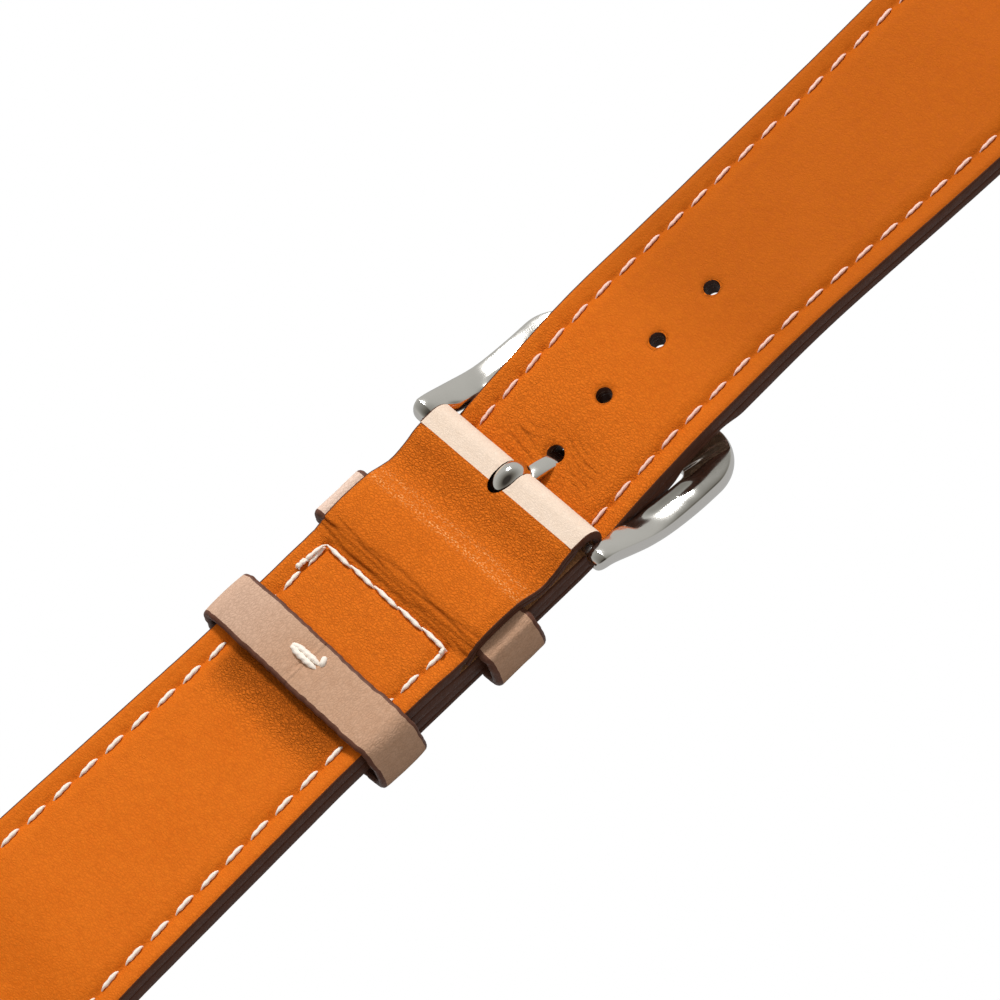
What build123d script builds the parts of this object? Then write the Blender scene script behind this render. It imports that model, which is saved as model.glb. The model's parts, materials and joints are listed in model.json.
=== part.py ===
from build123d import *
from math import atan2, cos, degrees, sin
import os

# Two-piece leather watch strap, fastened, lying on its outer face with the lining up.
# Every length is in millimetres. X runs along the strap towards the long piece's lug end,
# Y across it and Z up. While it is drawn, the buckle bar's axis is X = 0, Z = 0.

mm = 1.0
joint_gap = 0.05 * mm       # between leather that only lies on leather
cut_overrun = 2.0 * mm      # how far cutting tools run past what they cut

# Widths in plan
lug_gap = 22.0 * mm
lug_play = 0.3 * mm         # between the strap's ends and the lugs
buckle_width = 19.9 * mm
short_waist_draw = 0.3 * mm  # how much narrower each piece is at its waist
long_waist_draw = 0.6 * mm
lug_end_width = lug_gap - lug_play
short_waist_width = buckle_width - short_waist_draw
long_waist_width = buckle_width - long_waist_draw

# Lengths along the strap
short_length = 75.0 * mm
long_length = 119.0 * mm
tip_reach = 33.0 * mm       # the long piece's tip, past the buckle bar
tip_taper = 9.0 * mm
tip_nose = 5.0 * mm
short_lug_x = -short_length
long_lug_x = long_length - tip_reach

# Places measured from the lug bars towards the buckle
short_flare_inset = 8.0 * mm
short_droop_inset = 11.0 * mm
short_flex_inset = 22.0 * mm
long_flare_inset = 18.0 * mm
long_droop_inset = 12.0 * mm
long_flex_inset = 38.0 * mm
short_waist_start = 20.0 * mm
short_waist_end = 30.0 * mm
short_flare_end = short_length - short_flare_inset
long_flare_end = long_lug_x - long_flare_inset
long_flare_start = 22.0 * mm

# Leather, tape and filler thicknesses
short_outer_thick = 0.95 * mm
long_outer_thick = 0.80 * mm
tape_thick = 0.15 * mm
short_filler_thick = 0.55 * mm
long_filler_thick = 0.50 * mm
short_lining_thick = 0.65 * mm
long_lining_thick = 0.75 * mm
turned_thick = 0.55 * mm    # outer leather, skived where it is turned back
filler_inset = 3.2 * mm     # from the strap's edge to the filler and the tape
filler_end_gap = 0.6 * mm

# Spring bars: tube, two sprung pins and the spring between them
bar_radius = 0.75 * mm
tube_wall = 0.17 * mm
bar_bore = bar_radius - tube_wall
bar_play = 0.05 * mm        # tube in its leather tunnel, and pin in its bore
pin_shank_radius = bar_bore - bar_play
pin_shank_length = 3.4 * mm
pin_tip_radius = 0.35 * mm
pin_tip_length = 0.95 * mm
shoulder_step = 0.10 * mm   # from the tube's outside in to the pin's shoulder
shoulder_radius = bar_radius - shoulder_step
shoulder_thick = 0.25 * mm
pin_travel = 1.0 * mm
travel_spare = 0.1 * mm
spring_wall = 0.18 * mm
spring_play = 0.04 * mm

# Buckle frame, bent in side view
frame_side_gap = 0.55 * mm  # between the strap and each ear
ear_hole_end_gap = 0.03 * mm
ear_cap = 0.22 * mm         # steel left outside the ear's hole
arm_spread = 0.75 * mm      # how far each arm swells out past its ear
ear_hole_depth = pin_tip_length + ear_hole_end_gap
frame_inner_width = buckle_width + frame_side_gap * 2
ear_width = frame_inner_width + (ear_hole_depth + ear_cap) * 2
arm_spread_width = ear_width + arm_spread * 2
arm_spread_start = 4.0 * mm
frame_thick = 1.8 * mm
frame_knee = 6.3 * mm
frame_knee_lift = 0.9 * mm  # how much higher the knee is than the front bar
frame_front = 16.5 * mm
frame_strap_gap = 1.35 * mm  # between the front bar and the strap over it
frame_knee_radius = 7.0 * mm
front_bar_width = 4.2 * mm
front_corner_radius = 3.4 * mm
window_corner_radius = 1.6 * mm
ear_radius = 1.15 * mm
ear_round = 0.45 * mm
ear_hole_play = 0.05 * mm

# Tang: knuckle round the bar, cranked prong through the strap's hole, tip under the frame
knuckle_proud = 0.15 * mm   # how far it stands out of the leather round the bar
knuckle_wall = 0.53 * mm
knuckle_width = 3.2 * mm
tang_bore_play = 0.07 * mm
knuckle_end_radius = bar_radius + tang_bore_play + knuckle_wall
prong_width = 1.35 * mm
prong_thick = 0.80 * mm
prong_root_drop = 0.1 * mm
prong_entry_drop = 0.6 * mm
prong_exit_lift = 0.95 * mm  # how much higher it leaves the hole than its foot lies
prong_foot_lead = 0.8 * mm
prong_overhang = 0.4 * mm
prong_bend_radius = 0.9 * mm
prong_clearance = 0.22 * mm
notch_gap = 0.3 * mm
slot_clearance = 0.3 * mm

# Adjustment holes
hole_radius = 0.78 * mm
hole_pitch = 6.85 * mm
first_hole = 4.75 * mm      # the hole that the tang is in
entry_lead = 0.85 * mm      # where the tang enters it and leaves it
exit_lag = 2.45 * mm
holes_to_lug = 3
holes_to_tip = 3
prong_hole_entry = first_hole - entry_lead
prong_hole_exit = first_hole + exit_lag
prong_foot = frame_front - front_bar_width - prong_foot_lead
prong_tip = frame_front + prong_overhang

# Fixed keeper
keeper_centre = 10.65 * mm
keeper_width = 5.9 * mm
keeper_thick = 1.1 * mm
keeper_side_gap = 0.45 * mm
keeper_corner_step = 0.4 * mm
keeper_inner_width = buckle_width + keeper_side_gap * 2
keeper_corner = keeper_thick + keeper_corner_step
keeper_far = keeper_centre + keeper_width / 2
keeper_near = keeper_centre - keeper_width / 2

# Flap: outer leather turned back over the bar and under the lining
strip_edge = 1.4 * mm       # where the lining starts
flap_dip_run = 1.95 * mm    # from the ridge's near shoulder down to the dip
flap_fall = 1.05 * mm       # from its far shoulder down to the flap's end
flap_dip_gap = 0.2 * mm     # between the flap's dip and the leather under it
flap_end_radius = 1.0 * mm
flap_far_radius = 0.8 * mm
flap_near_radius = 1.2 * mm
flap_dip_radius = 1.0 * mm
flap_strip_radius = 0.9 * mm
keeper_shoulder = 0.35 * mm  # flat top of the ridge, past the keeper's edges
flap_dip = keeper_near - keeper_shoulder - flap_dip_run
flap_end = keeper_far + keeper_shoulder + flap_fall

# Leather turned back round the lug bars
lug_strip = 1.4 * mm        # from the lug bar to where the lining ends
strip_ease = 0.7 * mm       # level run of the lining beside a strip
lug_climb = 2.4 * mm        # length over which the lining climbs to the lug tunnel
climb_top_radius = 0.9 * mm
climb_foot_radius = 1.2 * mm
lug_flap_share = 0.35       # how far the skived end reaches along the level run

# Floating loop
loop_rest = 6.15 * mm       # from the cross seam
loop_width = 5.3 * mm
loop_thick = 1.2 * mm
loop_side_gap = 0.35 * mm
loop_corner_step = 0.4 * mm
loop_seam = 0.12 * mm
inner_corner_share = 0.8    # how much of its thickness a loop's inner corner gives up
slide_gap = 0.30 * mm       # between a keeper and the strap that it holds
loop_inner_width = buckle_width + loop_side_gap * 2
loop_corner = loop_thick + loop_corner_step

# Seams
stitch_pitch = 3.05 * mm
stitch_run = 2.3 * mm
thread_wide = 0.45 * mm
thread_high = 0.30 * mm
thread_sunk = 0.20 * mm
row_inset = 2.1 * mm
cross_seam_gap = 0.7 * mm   # from the flap's end
cross_seam = flap_end + cross_seam_gap
loop_centre = cross_seam + loop_rest + loop_width / 2
seam_end_gap = 4.2 * mm     # from the lug bar to the last stitch
loop_thread_length = 3.4 * mm
loop_thread_pitch = 0.5 * mm
loop_thread_count = 3

# Heights, worked out from the stack at the bar
tunnel_radius = bar_radius + bar_play
short_wrap_radius = tunnel_radius + short_outer_thick
long_wrap_radius = tunnel_radius + long_outer_thick
knuckle_radius = short_wrap_radius + knuckle_proud
knuckle_gap = 0.10 * mm     # between the knuckle and the strap under it
under_bar_gap = knuckle_proud + knuckle_gap
short_core = tape_thick + short_filler_thick
long_core = tape_thick + long_filler_thick
long_thick = long_outer_thick + long_core + long_lining_thick
short_bottom = -short_wrap_radius
long_bottom = short_bottom - under_bar_gap - long_thick
ground = long_bottom - slide_gap - loop_thick

# The long piece rises from under the bar, and both pieces droop towards their lug ends
rise_start = 1.0 * mm
rise_end = 10.5 * mm
rise_height = 2.25 * mm
rise_radius = 20.0 * mm
long_droop = 3.5 * mm
long_droop_run = 12.0 * mm
short_droop = 1.4 * mm
short_droop_run = 7.0 * mm
droop_radius = 30.0 * mm

short_droop_end = short_length - short_droop_inset
short_droop_start = short_droop_end - short_droop_run
long_droop_end = long_lug_x - long_droop_inset
long_droop_start = long_droop_end - long_droop_run

# Flex lines, where each half bends towards the wrist
short_flex = short_length - short_flex_inset
long_flex = long_lug_x - long_flex_inset

long_level = long_bottom + rise_height
frame_front_drop = frame_strap_gap + frame_thick / 2 - long_level
frame_knee_drop = frame_front_drop - frame_knee_lift
prong_foot_drop = -ground - prong_thick / 2
prong_exit_drop = prong_foot_drop - prong_exit_lift
width_of_all = lug_gap + arm_spread_width
height_of_all = -ground * 4

middle_x = (short_lug_x - short_wrap_radius + long_lug_x + long_wrap_radius) / 2


def write(name, shape):
    """Moves a shape so that the whole strap stands on the origin, and exports it."""
    placed = Pos(-middle_x, 0, -ground) * shape
    placed.label = name
    export_step(placed, f"parts/{name}.step")


def offset_line(points, radii, offset):
    """A path of straight runs and tangent arcs, moved to its left by an offset."""
    moved, rounds = [], []
    last = len(points) - 1
    angles = [atan2(b[1] - a[1], b[0] - a[0]) for a, b in zip(points, points[1:])]
    for index, (x, z) in enumerate(points):
        before = angles[max(index - 1, 0)]
        after = angles[min(index, last - 1)]
        half_turn = (after - before) / 2
        reach = offset / cos(half_turn)
        lean = (before + after) / 2
        moved.append((x - reach * sin(lean), z + reach * cos(lean)))
        if 0 < index < last:
            side = -1 if half_turn > 0 else 1
            rounds.append(radii[index - 1] + side * offset)
    return moved, rounds


def side_wire(points, radii, offset):
    """The offset path as a wire in the XZ plane."""
    moved, rounds = offset_line(points, radii, offset)
    flat = [(x, 0, z) for x, z in moved]
    if len(flat) == 2:
        return Wire([Edge.make_line(*flat)])
    return Wire(FilletPolyline(*flat, radius=rounds).edges())


def ribbon(points, radii, low, high, width=width_of_all):
    """A band between two offsets of a path, extruded across the strap."""
    under = side_wire(points, radii, low)
    over = side_wire(points, radii, high)
    ends = [Edge.make_line(under @ 1, over @ 1), Edge.make_line(over @ 0, under @ 0)]
    face = Face(Wire(under.edges() + over.edges() + ends))
    return solid_across(face, width)


def solid_across(face, width):
    """Extrudes a face that lies in the XZ plane by half a width to each side."""
    body = extrude(face, amount=width / 2, dir=(0, 1, 0), both=True)
    return body.solid()


def side_polygon(points, width=width_of_all):
    """A closed outline in the XZ plane, extruded across the strap."""
    wire = Wire.make_polygon([(x, 0, z) for x, z in points], close=True)
    return solid_across(Face(wire), width)


def cross_rod(radius, length, x, z, y=0.0):
    """A round rod across the strap, centred on y."""
    return Pos(x, y, z) * Rot(90, 0, 0) * Cylinder(radius, length)


def box_between(x0, x1, y0, y1, z0, z1):
    size = Box(x1 - x0, y1 - y0, z1 - z0)
    return Pos((x0 + x1) / 2, (y0 + y1) / 2, (z0 + z1) / 2) * size


def plan_prism(outline):
    """A plan outline, given for positive Y, mirrored and extruded through the strap."""
    mirrored = [(x, -y) for x, y in reversed(outline)]
    wire = Wire.make_polygon([(x, y, -height_of_all / 2) for x, y in outline + mirrored])
    return extrude(Face(wire), amount=height_of_all, dir=(0, 0, 1)).solid()


# Plan outlines
short_outline = [
    (cut_overrun, buckle_width / 2),
    (-flap_end, buckle_width / 2),
    (-short_waist_start, short_waist_width / 2),
    (-short_waist_end, short_waist_width / 2),
    (-short_flare_end, lug_end_width / 2),
    (short_lug_x - cut_overrun, lug_end_width / 2),
]
long_outline = [
    (-tip_reach, tip_nose / 2),
    (tip_taper - tip_reach, long_waist_width / 2),
    (long_flare_start, long_waist_width / 2),
    (long_flare_end, lug_end_width / 2),
    (long_lug_x + cut_overrun, lug_end_width / 2),
]


def half_width(outline, x):
    """Half of the strap's width at a place along it."""
    ends = sorted(outline)
    for (x0, y0), (x1, y1) in zip(ends, ends[1:]):
        if x0 <= x <= x1:
            return y0 + (y1 - y0) * (x - x0) / (x1 - x0)
    return ends[0][1] if x < ends[0][0] else ends[-1][1]


def inset_outline(outline, start, end):
    """The filler's plan: the strap's, drawn in from the edges and cut at both ends."""
    places = [start] + [x for x, _ in sorted(outline) if start < x < end] + [end]
    return [(x, half_width(outline, x) - filler_inset) for x in places]


# Side paths, each the outer face of its piece
short_path = [
    (short_lug_x, short_bottom - short_droop),
    (-short_droop_end, short_bottom - short_droop),
    (-short_droop_start, short_bottom),
    (0.0, short_bottom),
]
short_radii = [droop_radius, droop_radius]
long_path = [
    (-tip_reach, long_bottom),
    (rise_start, long_bottom),
    (rise_end, long_level),
    (long_droop_start, long_level),
    (long_droop_end, long_level - long_droop),
    (long_lug_x, long_level - long_droop),
]
long_radii = [rise_radius, rise_radius, droop_radius, droop_radius]

# Undersides of the two linings
lining_level = short_bottom + short_outer_thick + short_core
keeper_top = short_bottom + short_outer_thick + joint_gap + keeper_thick
over_keeper = keeper_top + joint_gap + turned_thick
flap_start_level = short_wrap_radius - short_lining_thick
flap_dip_level = short_bottom + short_outer_thick + flap_dip_gap + turned_thick
short_lug_z = short_bottom - short_droop + short_wrap_radius
long_lug_z = long_level - long_droop + long_wrap_radius

flap_path = [
    (-flap_end, lining_level),
    (-keeper_far - keeper_shoulder, over_keeper),
    (-keeper_near + keeper_shoulder, over_keeper),
    (-flap_dip, flap_dip_level),
    (-strip_edge - strip_ease, flap_start_level),
    (-strip_edge, flap_start_level),
]
flap_radii = [flap_far_radius, flap_near_radius, flap_dip_radius, flap_strip_radius]
short_seam, short_seam_radii = offset_line(short_path, short_radii,
                                           short_outer_thick + short_core)
short_lug_seam = short_lug_z + short_wrap_radius - short_lining_thick
short_lining_path = [
    (short_lug_x + lug_strip, short_lug_seam),
    (short_lug_x + lug_strip + strip_ease, short_lug_seam),
    (short_lug_x + lug_strip + lug_climb, lining_level - short_droop),
] + short_seam[1:3] + flap_path
climb_radii = [climb_top_radius, climb_foot_radius]
short_lining_radii = climb_radii + short_seam_radii + [flap_end_radius] + flap_radii
long_seam, long_seam_radii = offset_line(long_path, long_radii, long_outer_thick + long_core)
long_lug_seam = long_lug_z + long_wrap_radius - long_lining_thick
long_lining_path = long_seam[:-1] + [
    (long_lug_x - lug_strip - lug_climb, long_seam[-1][1]),
    (long_lug_x - lug_strip - strip_ease, long_lug_seam),
    (long_lug_x - lug_strip, long_lug_seam),
]
long_lining_radii = long_seam_radii + climb_radii[::-1]


def tunnel(x, z, wrap_radius, side):
    """Outer leather turned half round a bar: side is 1 where it opens towards -X."""
    ring = cross_rod(wrap_radius, width_of_all, x, z)
    near, far = sorted((x, x + side * height_of_all))
    half = box_between(near, far, -width_of_all, width_of_all, z - wrap_radius, z + wrap_radius)
    return ring & half


def turned_end(x, z, wrap_radius, side, strip, lining_thick):
    """The first stretch of the turned-back leather, flush with the lining's end."""
    top = z + wrap_radius
    skived = top - lining_thick - turned_thick
    inner = z + tunnel_radius
    return side_polygon([
        (x, inner), (x, top), (x - side * strip, top), (x - side * strip, skived),
    ])


def make_short_outer():
    run = ribbon(short_path, short_radii, 0.0, short_outer_thick)
    flap = ribbon(flap_path, flap_radii, -turned_thick, 0.0)
    body = run + tunnel(0.0, 0.0, short_wrap_radius, 1) + flap
    body += turned_end(0.0, 0.0, short_wrap_radius, 1, strip_edge, short_lining_thick)
    body += tunnel(short_lug_x, short_lug_z, short_wrap_radius, -1)
    body += turned_end(short_lug_x, short_lug_z, short_wrap_radius, -1, lug_strip, short_lining_thick)
    body += lug_flap(short_lining_path[:4], climb_radii)
    body -= cross_rod(tunnel_radius, width_of_all, 0.0, 0.0)
    body -= cross_rod(tunnel_radius, width_of_all, short_lug_x, short_lug_z)
    body &= plan_prism(short_outline)
    return body - tang_slot()


def lug_flap(points, radii):
    """The skived end of the outer leather, between the lug tunnel and the filler."""
    climb, level = points[2], points[3]
    stop = (climb[0] + (level[0] - climb[0]) * lug_flap_share, climb[1])
    ordered = points[:3] + [stop]
    if stop[0] < climb[0]:
        return ribbon(ordered[::-1], radii[::-1], -turned_thick, 0.0)
    return ribbon(ordered, radii, -turned_thick, 0.0)


def tang_slot():
    """The slot in the wrap that the tang's knuckle turns in."""
    return cross_rod(knuckle_radius + slot_clearance, knuckle_width + slot_clearance * 2, 0.0, 0.0)


def make_short_lining():
    body = ribbon(short_lining_path, short_lining_radii, 0.0, short_lining_thick)
    edge_band = ribbon(short_core_path(), short_seam_radii, -short_core, 0.0)
    body += edge_band
    body &= plan_prism(short_outline)
    body -= tang_slot()
    return body - core_layer(short_core_path(), short_seam_radii, short_outline, -short_core, 0.0)


def short_core_path():
    start = (short_lug_x + lug_strip + lug_climb * 2 + filler_end_gap, lining_level - short_droop)
    end = (-flap_end - filler_end_gap, lining_level)
    return [start] + short_seam[1:3] + [end]


def core_layer(path, radii, outline, low, high):
    """A filler or tape: a layer under the lining, drawn in from the edges."""
    layer = ribbon(path, radii, low, high)
    start = path[0][0] + filler_end_gap
    end = path[-1][0] - filler_end_gap
    return layer & plan_prism(inset_outline(outline, start, end))


def make_short_filler():
    return core_layer(short_core_path(), short_seam_radii, short_outline, -short_filler_thick, 0.0)


def make_short_tape():
    return core_layer(short_core_path(), short_seam_radii, short_outline, -short_core,
                      -short_filler_thick)


def long_core_path():
    start = (tip_taper - tip_reach, long_seam[0][1])
    end = (long_lug_x - lug_strip - lug_climb * 2 - filler_end_gap, long_seam[-1][1])
    return [start] + long_seam[1:5] + [end]


def make_long_outer():
    body = ribbon(long_path, long_radii, 0.0, long_outer_thick)
    body += tunnel(long_lug_x, long_lug_z, long_wrap_radius, 1)
    body += turned_end(long_lug_x, long_lug_z, long_wrap_radius, 1, lug_strip, long_lining_thick)
    body += lug_flap(long_lining_path[:-5:-1], climb_radii)
    body -= cross_rod(tunnel_radius, width_of_all, long_lug_x, long_lug_z)
    return pierced(body & plan_prism(long_outline))


def make_long_lining():
    body = ribbon(long_lining_path, long_lining_radii, 0.0, long_lining_thick)
    body += ribbon(tip_to_core_end(), long_seam_radii, -long_core, 0.0)
    body &= plan_prism(long_outline)
    body -= core_layer(long_core_path(), long_seam_radii, long_outline, -long_core, 0.0)
    return pierced(body)


def tip_to_core_end():
    return [long_lining_path[0]] + long_core_path()[1:]


def make_long_filler():
    layer = core_layer(long_core_path(), long_seam_radii, long_outline, -long_filler_thick, 0.0)
    return pierced(layer)


def make_long_tape():
    layer = core_layer(long_core_path(), long_seam_radii, long_outline, -long_core, -long_filler_thick)
    return pierced(layer)


def pierced(body):
    """Cuts the round adjustment holes, and the one that the tang has drawn oval."""
    for index in range(-holes_to_tip, holes_to_lug + 1):
        if index != 0:
            x = first_hole + index * hole_pitch
            body -= Pos(x, 0, long_level) * Cylinder(hole_radius, height_of_all)
    return body - prong(prong_width / 2 + prong_clearance, prong_clearance)


# Buckle
def frame_side_path():
    return [(0.0, 0.0), (frame_knee, -frame_knee_drop), (frame_front, -frame_front_drop)]


def make_buckle_frame():
    half = frame_thick / 2
    body = ribbon(frame_side_path(), [frame_knee_radius], -half, half)
    body &= frame_plan(arm_spread_width / 2, frame_front)
    ears = cross_rod(ear_radius, ear_width, 0.0, 0.0)
    ears = fillet(ears.edges(), ear_round)
    body += ears
    body -= frame_window()
    hole = pin_tip_radius + ear_hole_play
    depth = frame_inner_width + ear_hole_depth * 2
    body -= cross_rod(hole, depth, 0.0, 0.0)
    return body - tang_notch()


def frame_plan(spread, front):
    """The frame's outer outline: narrow at the ears, spread at the arms, round in front."""
    start = -ear_radius
    corners = [
        (start, -ear_width / 2), (ear_radius, -ear_width / 2), (arm_spread_start, -spread),
        (front, -spread), (front, spread), (arm_spread_start, spread),
        (ear_radius, ear_width / 2), (start, ear_width / 2),
    ]
    bend = frame_knee_radius
    rounds = [bend, bend, front_corner_radius, front_corner_radius, bend, bend]
    line = FilletPolyline(*[(x, y, -height_of_all / 2) for x, y in corners], radius=rounds)
    wire = Wire(line.edges() + [Edge.make_line(line @ 1, line @ 0)])
    return extrude(Face(wire), amount=height_of_all, dir=(0, 0, 1)).solid()


def frame_window():
    """The space between the arms, open at the ears."""
    half = frame_inner_width / 2
    end = frame_front - front_bar_width
    start = -ear_radius - cut_overrun
    block = box_between(start, end, -half, half, -height_of_all / 2, height_of_all / 2)
    corners = block.edges().filter_by(Axis.Z).sort_by(Axis.X)[-2:]
    return fillet(corners, window_corner_radius)


def tang_notch():
    """The seat in the front bar's outer face that the tang's tip lies in."""
    half = prong_width / 2 + notch_gap
    top = -prong_foot_drop + prong_thick / 2 + notch_gap
    far = frame_front + cut_overrun
    near = frame_front - front_bar_width - cut_overrun
    return box_between(near, far, -half, half, top - height_of_all, top)


prong_path = [
    (knuckle_end_radius / 2, -prong_root_drop),
    (prong_hole_entry, -prong_entry_drop),
    (prong_hole_exit, -prong_exit_drop),
    (prong_foot, -prong_foot_drop),
    (prong_tip, -prong_foot_drop),
]


def prong(half_width_y, grow):
    """The cranked prong, or the space that it needs when grown."""
    half = prong_thick / 2 + grow
    radii = [prong_bend_radius + grow] * (len(prong_path) - 2)
    return ribbon(prong_path, radii, -half, half, half_width_y * 2)


def make_buckle_tang():
    half = knuckle_width / 2
    arc = ThreePointArc((0, -half, knuckle_end_radius), (0, 0, knuckle_radius),
                        (0, half, knuckle_end_radius))
    low, high = (0, -half, 0), (0, half, 0)
    sides = [Edge.make_line(arc @ 1, high), Edge.make_line(high, low), Edge.make_line(low, arc @ 0)]
    barrel = revolve(Face(Wire(arc.edges() + sides)), axis=Axis.Y)
    body = barrel + prong(prong_width / 2, 0.0)
    body -= cross_rod(bar_radius + tang_bore_play, width_of_all, 0.0, 0.0)
    return body


# Spring bars
def spring_bar(name, x, z, half_gap):
    """Tube, pins and spring of one bar whose shoulders reach half_gap each side."""
    tube_half = half_gap - shoulder_thick - pin_travel - travel_spare
    tube = cross_rod(bar_radius, tube_half * 2, x, z) - cross_rod(bar_bore, width_of_all, x, z)
    write(f"{name}_tube", tube)
    pin_root = tube_half - pin_shank_length
    for side, label in ((1, "left"), (-1, "right")):
        shank = rod_span(pin_shank_radius, pin_root, half_gap, x, z, side)
        shoulder = rod_span(shoulder_radius, half_gap - shoulder_thick, half_gap, x, z, side)
        tip = rod_span(pin_tip_radius, half_gap, half_gap + pin_tip_length, x, z, side)
        write(f"{name}_pin_{label}", shank + shoulder + tip)
    outer = bar_bore - spring_play
    length = (pin_root - spring_play) * 2
    spring = cross_rod(outer, length, x, z) - cross_rod(outer - spring_wall, width_of_all, x, z)
    write(f"{name}_spring", spring)


def rod_span(radius, start, end, x, z, side):
    return cross_rod(radius, end - start, x, z, side * (start + end) / 2)


# Keepers
def band(centre, width, inner_width, low, high, thick, corner):
    """A closed leather loop round the strap, with rounded corners."""
    x0, x1 = -centre - width / 2, -centre + width / 2
    half = inner_width / 2
    outer = box_between(x0, x1, -half - thick, half + thick, low - thick, high + thick)
    outer = fillet(outer.edges().filter_by(Axis.X), corner)
    inner = box_between(x0 - cut_overrun, x1 + cut_overrun, -half, half, low, high)
    inner = fillet(inner.edges().filter_by(Axis.X), corner - thick * inner_corner_share)
    return outer - inner


def make_fixed_keeper():
    low = long_bottom - slide_gap
    high = short_bottom + short_outer_thick + joint_gap
    return band(keeper_centre, keeper_width, keeper_inner_width, low, high, keeper_thick,
                keeper_corner)


short_top = lining_level + short_lining_thick
loop_top = short_top + slide_gap + loop_thick


def make_floating_loop():
    low = long_bottom - slide_gap
    high = short_top + slide_gap
    body = band(loop_centre, loop_width, loop_inner_width, low, high, loop_thick, loop_corner)
    reach = loop_width / 2 + cut_overrun
    seam = box_between(-loop_centre - reach, -loop_centre + reach, -loop_seam / 2, loop_seam / 2,
                       high - cut_overrun, loop_top + cut_overrun)
    return body - seam


def make_loop_stitch():
    """The threads that draw the floating loop's two ends together."""
    threads = []
    for index in range(loop_thread_count):
        shift = (index - (loop_thread_count - 1) / 2) * loop_thread_pitch
        level = loop_top + thread_wide / 2 - thread_sunk
        threads.append(cross_rod(thread_wide / 2, loop_thread_length, shift - loop_centre, level))
    return Compound(children=threads)


# Seams
def thread_run(wire, place, y, direction=1):
    """One stitch of a seam, half sunk in the leather, along the strap."""
    point, lean = wire @ place, wire % place
    angle = -degrees(atan2(lean.Z, lean.X))
    lift = direction * (thread_high / 2 - thread_sunk)
    stitch = Pos(0, 0, lift) * Box(stitch_run, thread_wide, thread_high)
    return Pos(point.X, y, point.Z) * Rot(0, angle, 0) * stitch


def seam_rows(wire, outline, start, end, direction):
    """Two rows of stitches along the strap's edges, on one face of it."""
    stitches = []
    x0 = (wire @ 0).X
    length = (wire @ 1).X - x0
    count = int((end - start) / stitch_pitch)
    for index in range(count):
        x = start + (index + 0.5) * stitch_pitch
        y = half_width(outline, x) - row_inset
        for side in (1, -1):
            stitches.append(thread_run(wire, (x - x0) / length, side * y, direction))
    return stitches


def cross_row(level, direction):
    """The seam across the short piece, behind the fixed keeper."""
    half = buckle_width / 2 - row_inset
    count = int(half * 2 / stitch_pitch)
    lift = direction * (thread_high / 2 - thread_sunk)
    stitches = []
    for index in range(count):
        y = (index - (count - 1) / 2) * stitch_pitch
        stitch = Box(thread_wide, stitch_run, thread_high)
        stitches.append(Pos(-cross_seam, y, level + lift) * stitch)
    return stitches


def make_short_stitching():
    start = short_lug_x + seam_end_gap
    top = side_wire(short_lining_path[2:6], short_seam_radii, short_lining_thick)
    low = side_wire(short_path, short_radii, 0.0)
    stitches = seam_rows(top, short_outline, start, -cross_seam, 1)
    stitches += seam_rows(low, short_outline, start, -cross_seam, -1)
    return stitches + cross_row(short_top, 1) + cross_row(short_bottom, -1)


def make_long_stitching():
    start = tip_taper - tip_reach
    end = long_lug_x - seam_end_gap
    top = side_wire(long_lining_path[:-2], long_seam_radii, long_lining_thick)
    low = side_wire(long_path, long_radii, 0.0)
    stitches = seam_rows(top, long_outline, start, end, 1)
    return stitches + seam_rows(low, long_outline, start, end, -1)


# Each half of the strap is one body on each side of its flex line
def write_halves(name, body, flex, lug_side):
    """Cuts a layer at the flex line: the buckle side first, then the lug side."""
    far = flex + lug_side * (short_length + long_length)
    lug_half = box_between(min(flex, far), max(flex, far), -width_of_all, width_of_all,
                           -height_of_all, height_of_all)
    write(name, body - lug_half)
    write(f"{name}_lug_end", body & lug_half)


def write_seam_halves(name, stitches, flex, lug_side):
    clear = stitch_run / 2 + thread_wide
    near = [s for s in stitches if (s.center().X - flex) * lug_side < -clear]
    far = [s for s in stitches if (s.center().X - flex) * lug_side > clear]
    write(name, Compound(children=near))
    write(f"{name}_lug_end", Compound(children=far))


os.makedirs("parts", exist_ok=True)
write_halves("short_outer_leather", make_short_outer(), -short_flex, -1)
write_halves("short_lining", make_short_lining(), -short_flex, -1)
write_halves("short_filler", make_short_filler(), -short_flex, -1)
write_halves("short_tape", make_short_tape(), -short_flex, -1)
write_seam_halves("short_stitching", make_short_stitching(), -short_flex, -1)
write_halves("long_outer_leather", make_long_outer(), long_flex, 1)
write_halves("long_lining", make_long_lining(), long_flex, 1)
write_halves("long_filler", make_long_filler(), long_flex, 1)
write_halves("long_tape", make_long_tape(), long_flex, 1)
write_seam_halves("long_stitching", make_long_stitching(), long_flex, 1)
write("buckle_frame", make_buckle_frame())
write("buckle_tang", make_buckle_tang())
spring_bar("buckle_bar", 0.0, 0.0, frame_inner_width / 2)
spring_bar("short_lug_bar", short_lug_x, short_lug_z, lug_gap / 2)
spring_bar("long_lug_bar", long_lug_x, long_lug_z, lug_gap / 2)
write("fixed_keeper", make_fixed_keeper())
write("floating_loop", make_floating_loop())
write("floating_loop_stitch", make_loop_stitch())
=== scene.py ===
"""Looks of a two-piece leather watch strap, lying on its outer face with the lining up.

Lengths are in millimetres in the buckle bar's frame: u along the strap towards the long
piece's lug end, y across it and z up, all from the middle of the buckle bar's axis.
"""

import json
import math
from types import SimpleNamespace

import bmesh
import bpy
import numpy as np
from mathutils import Matrix, Vector


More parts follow.
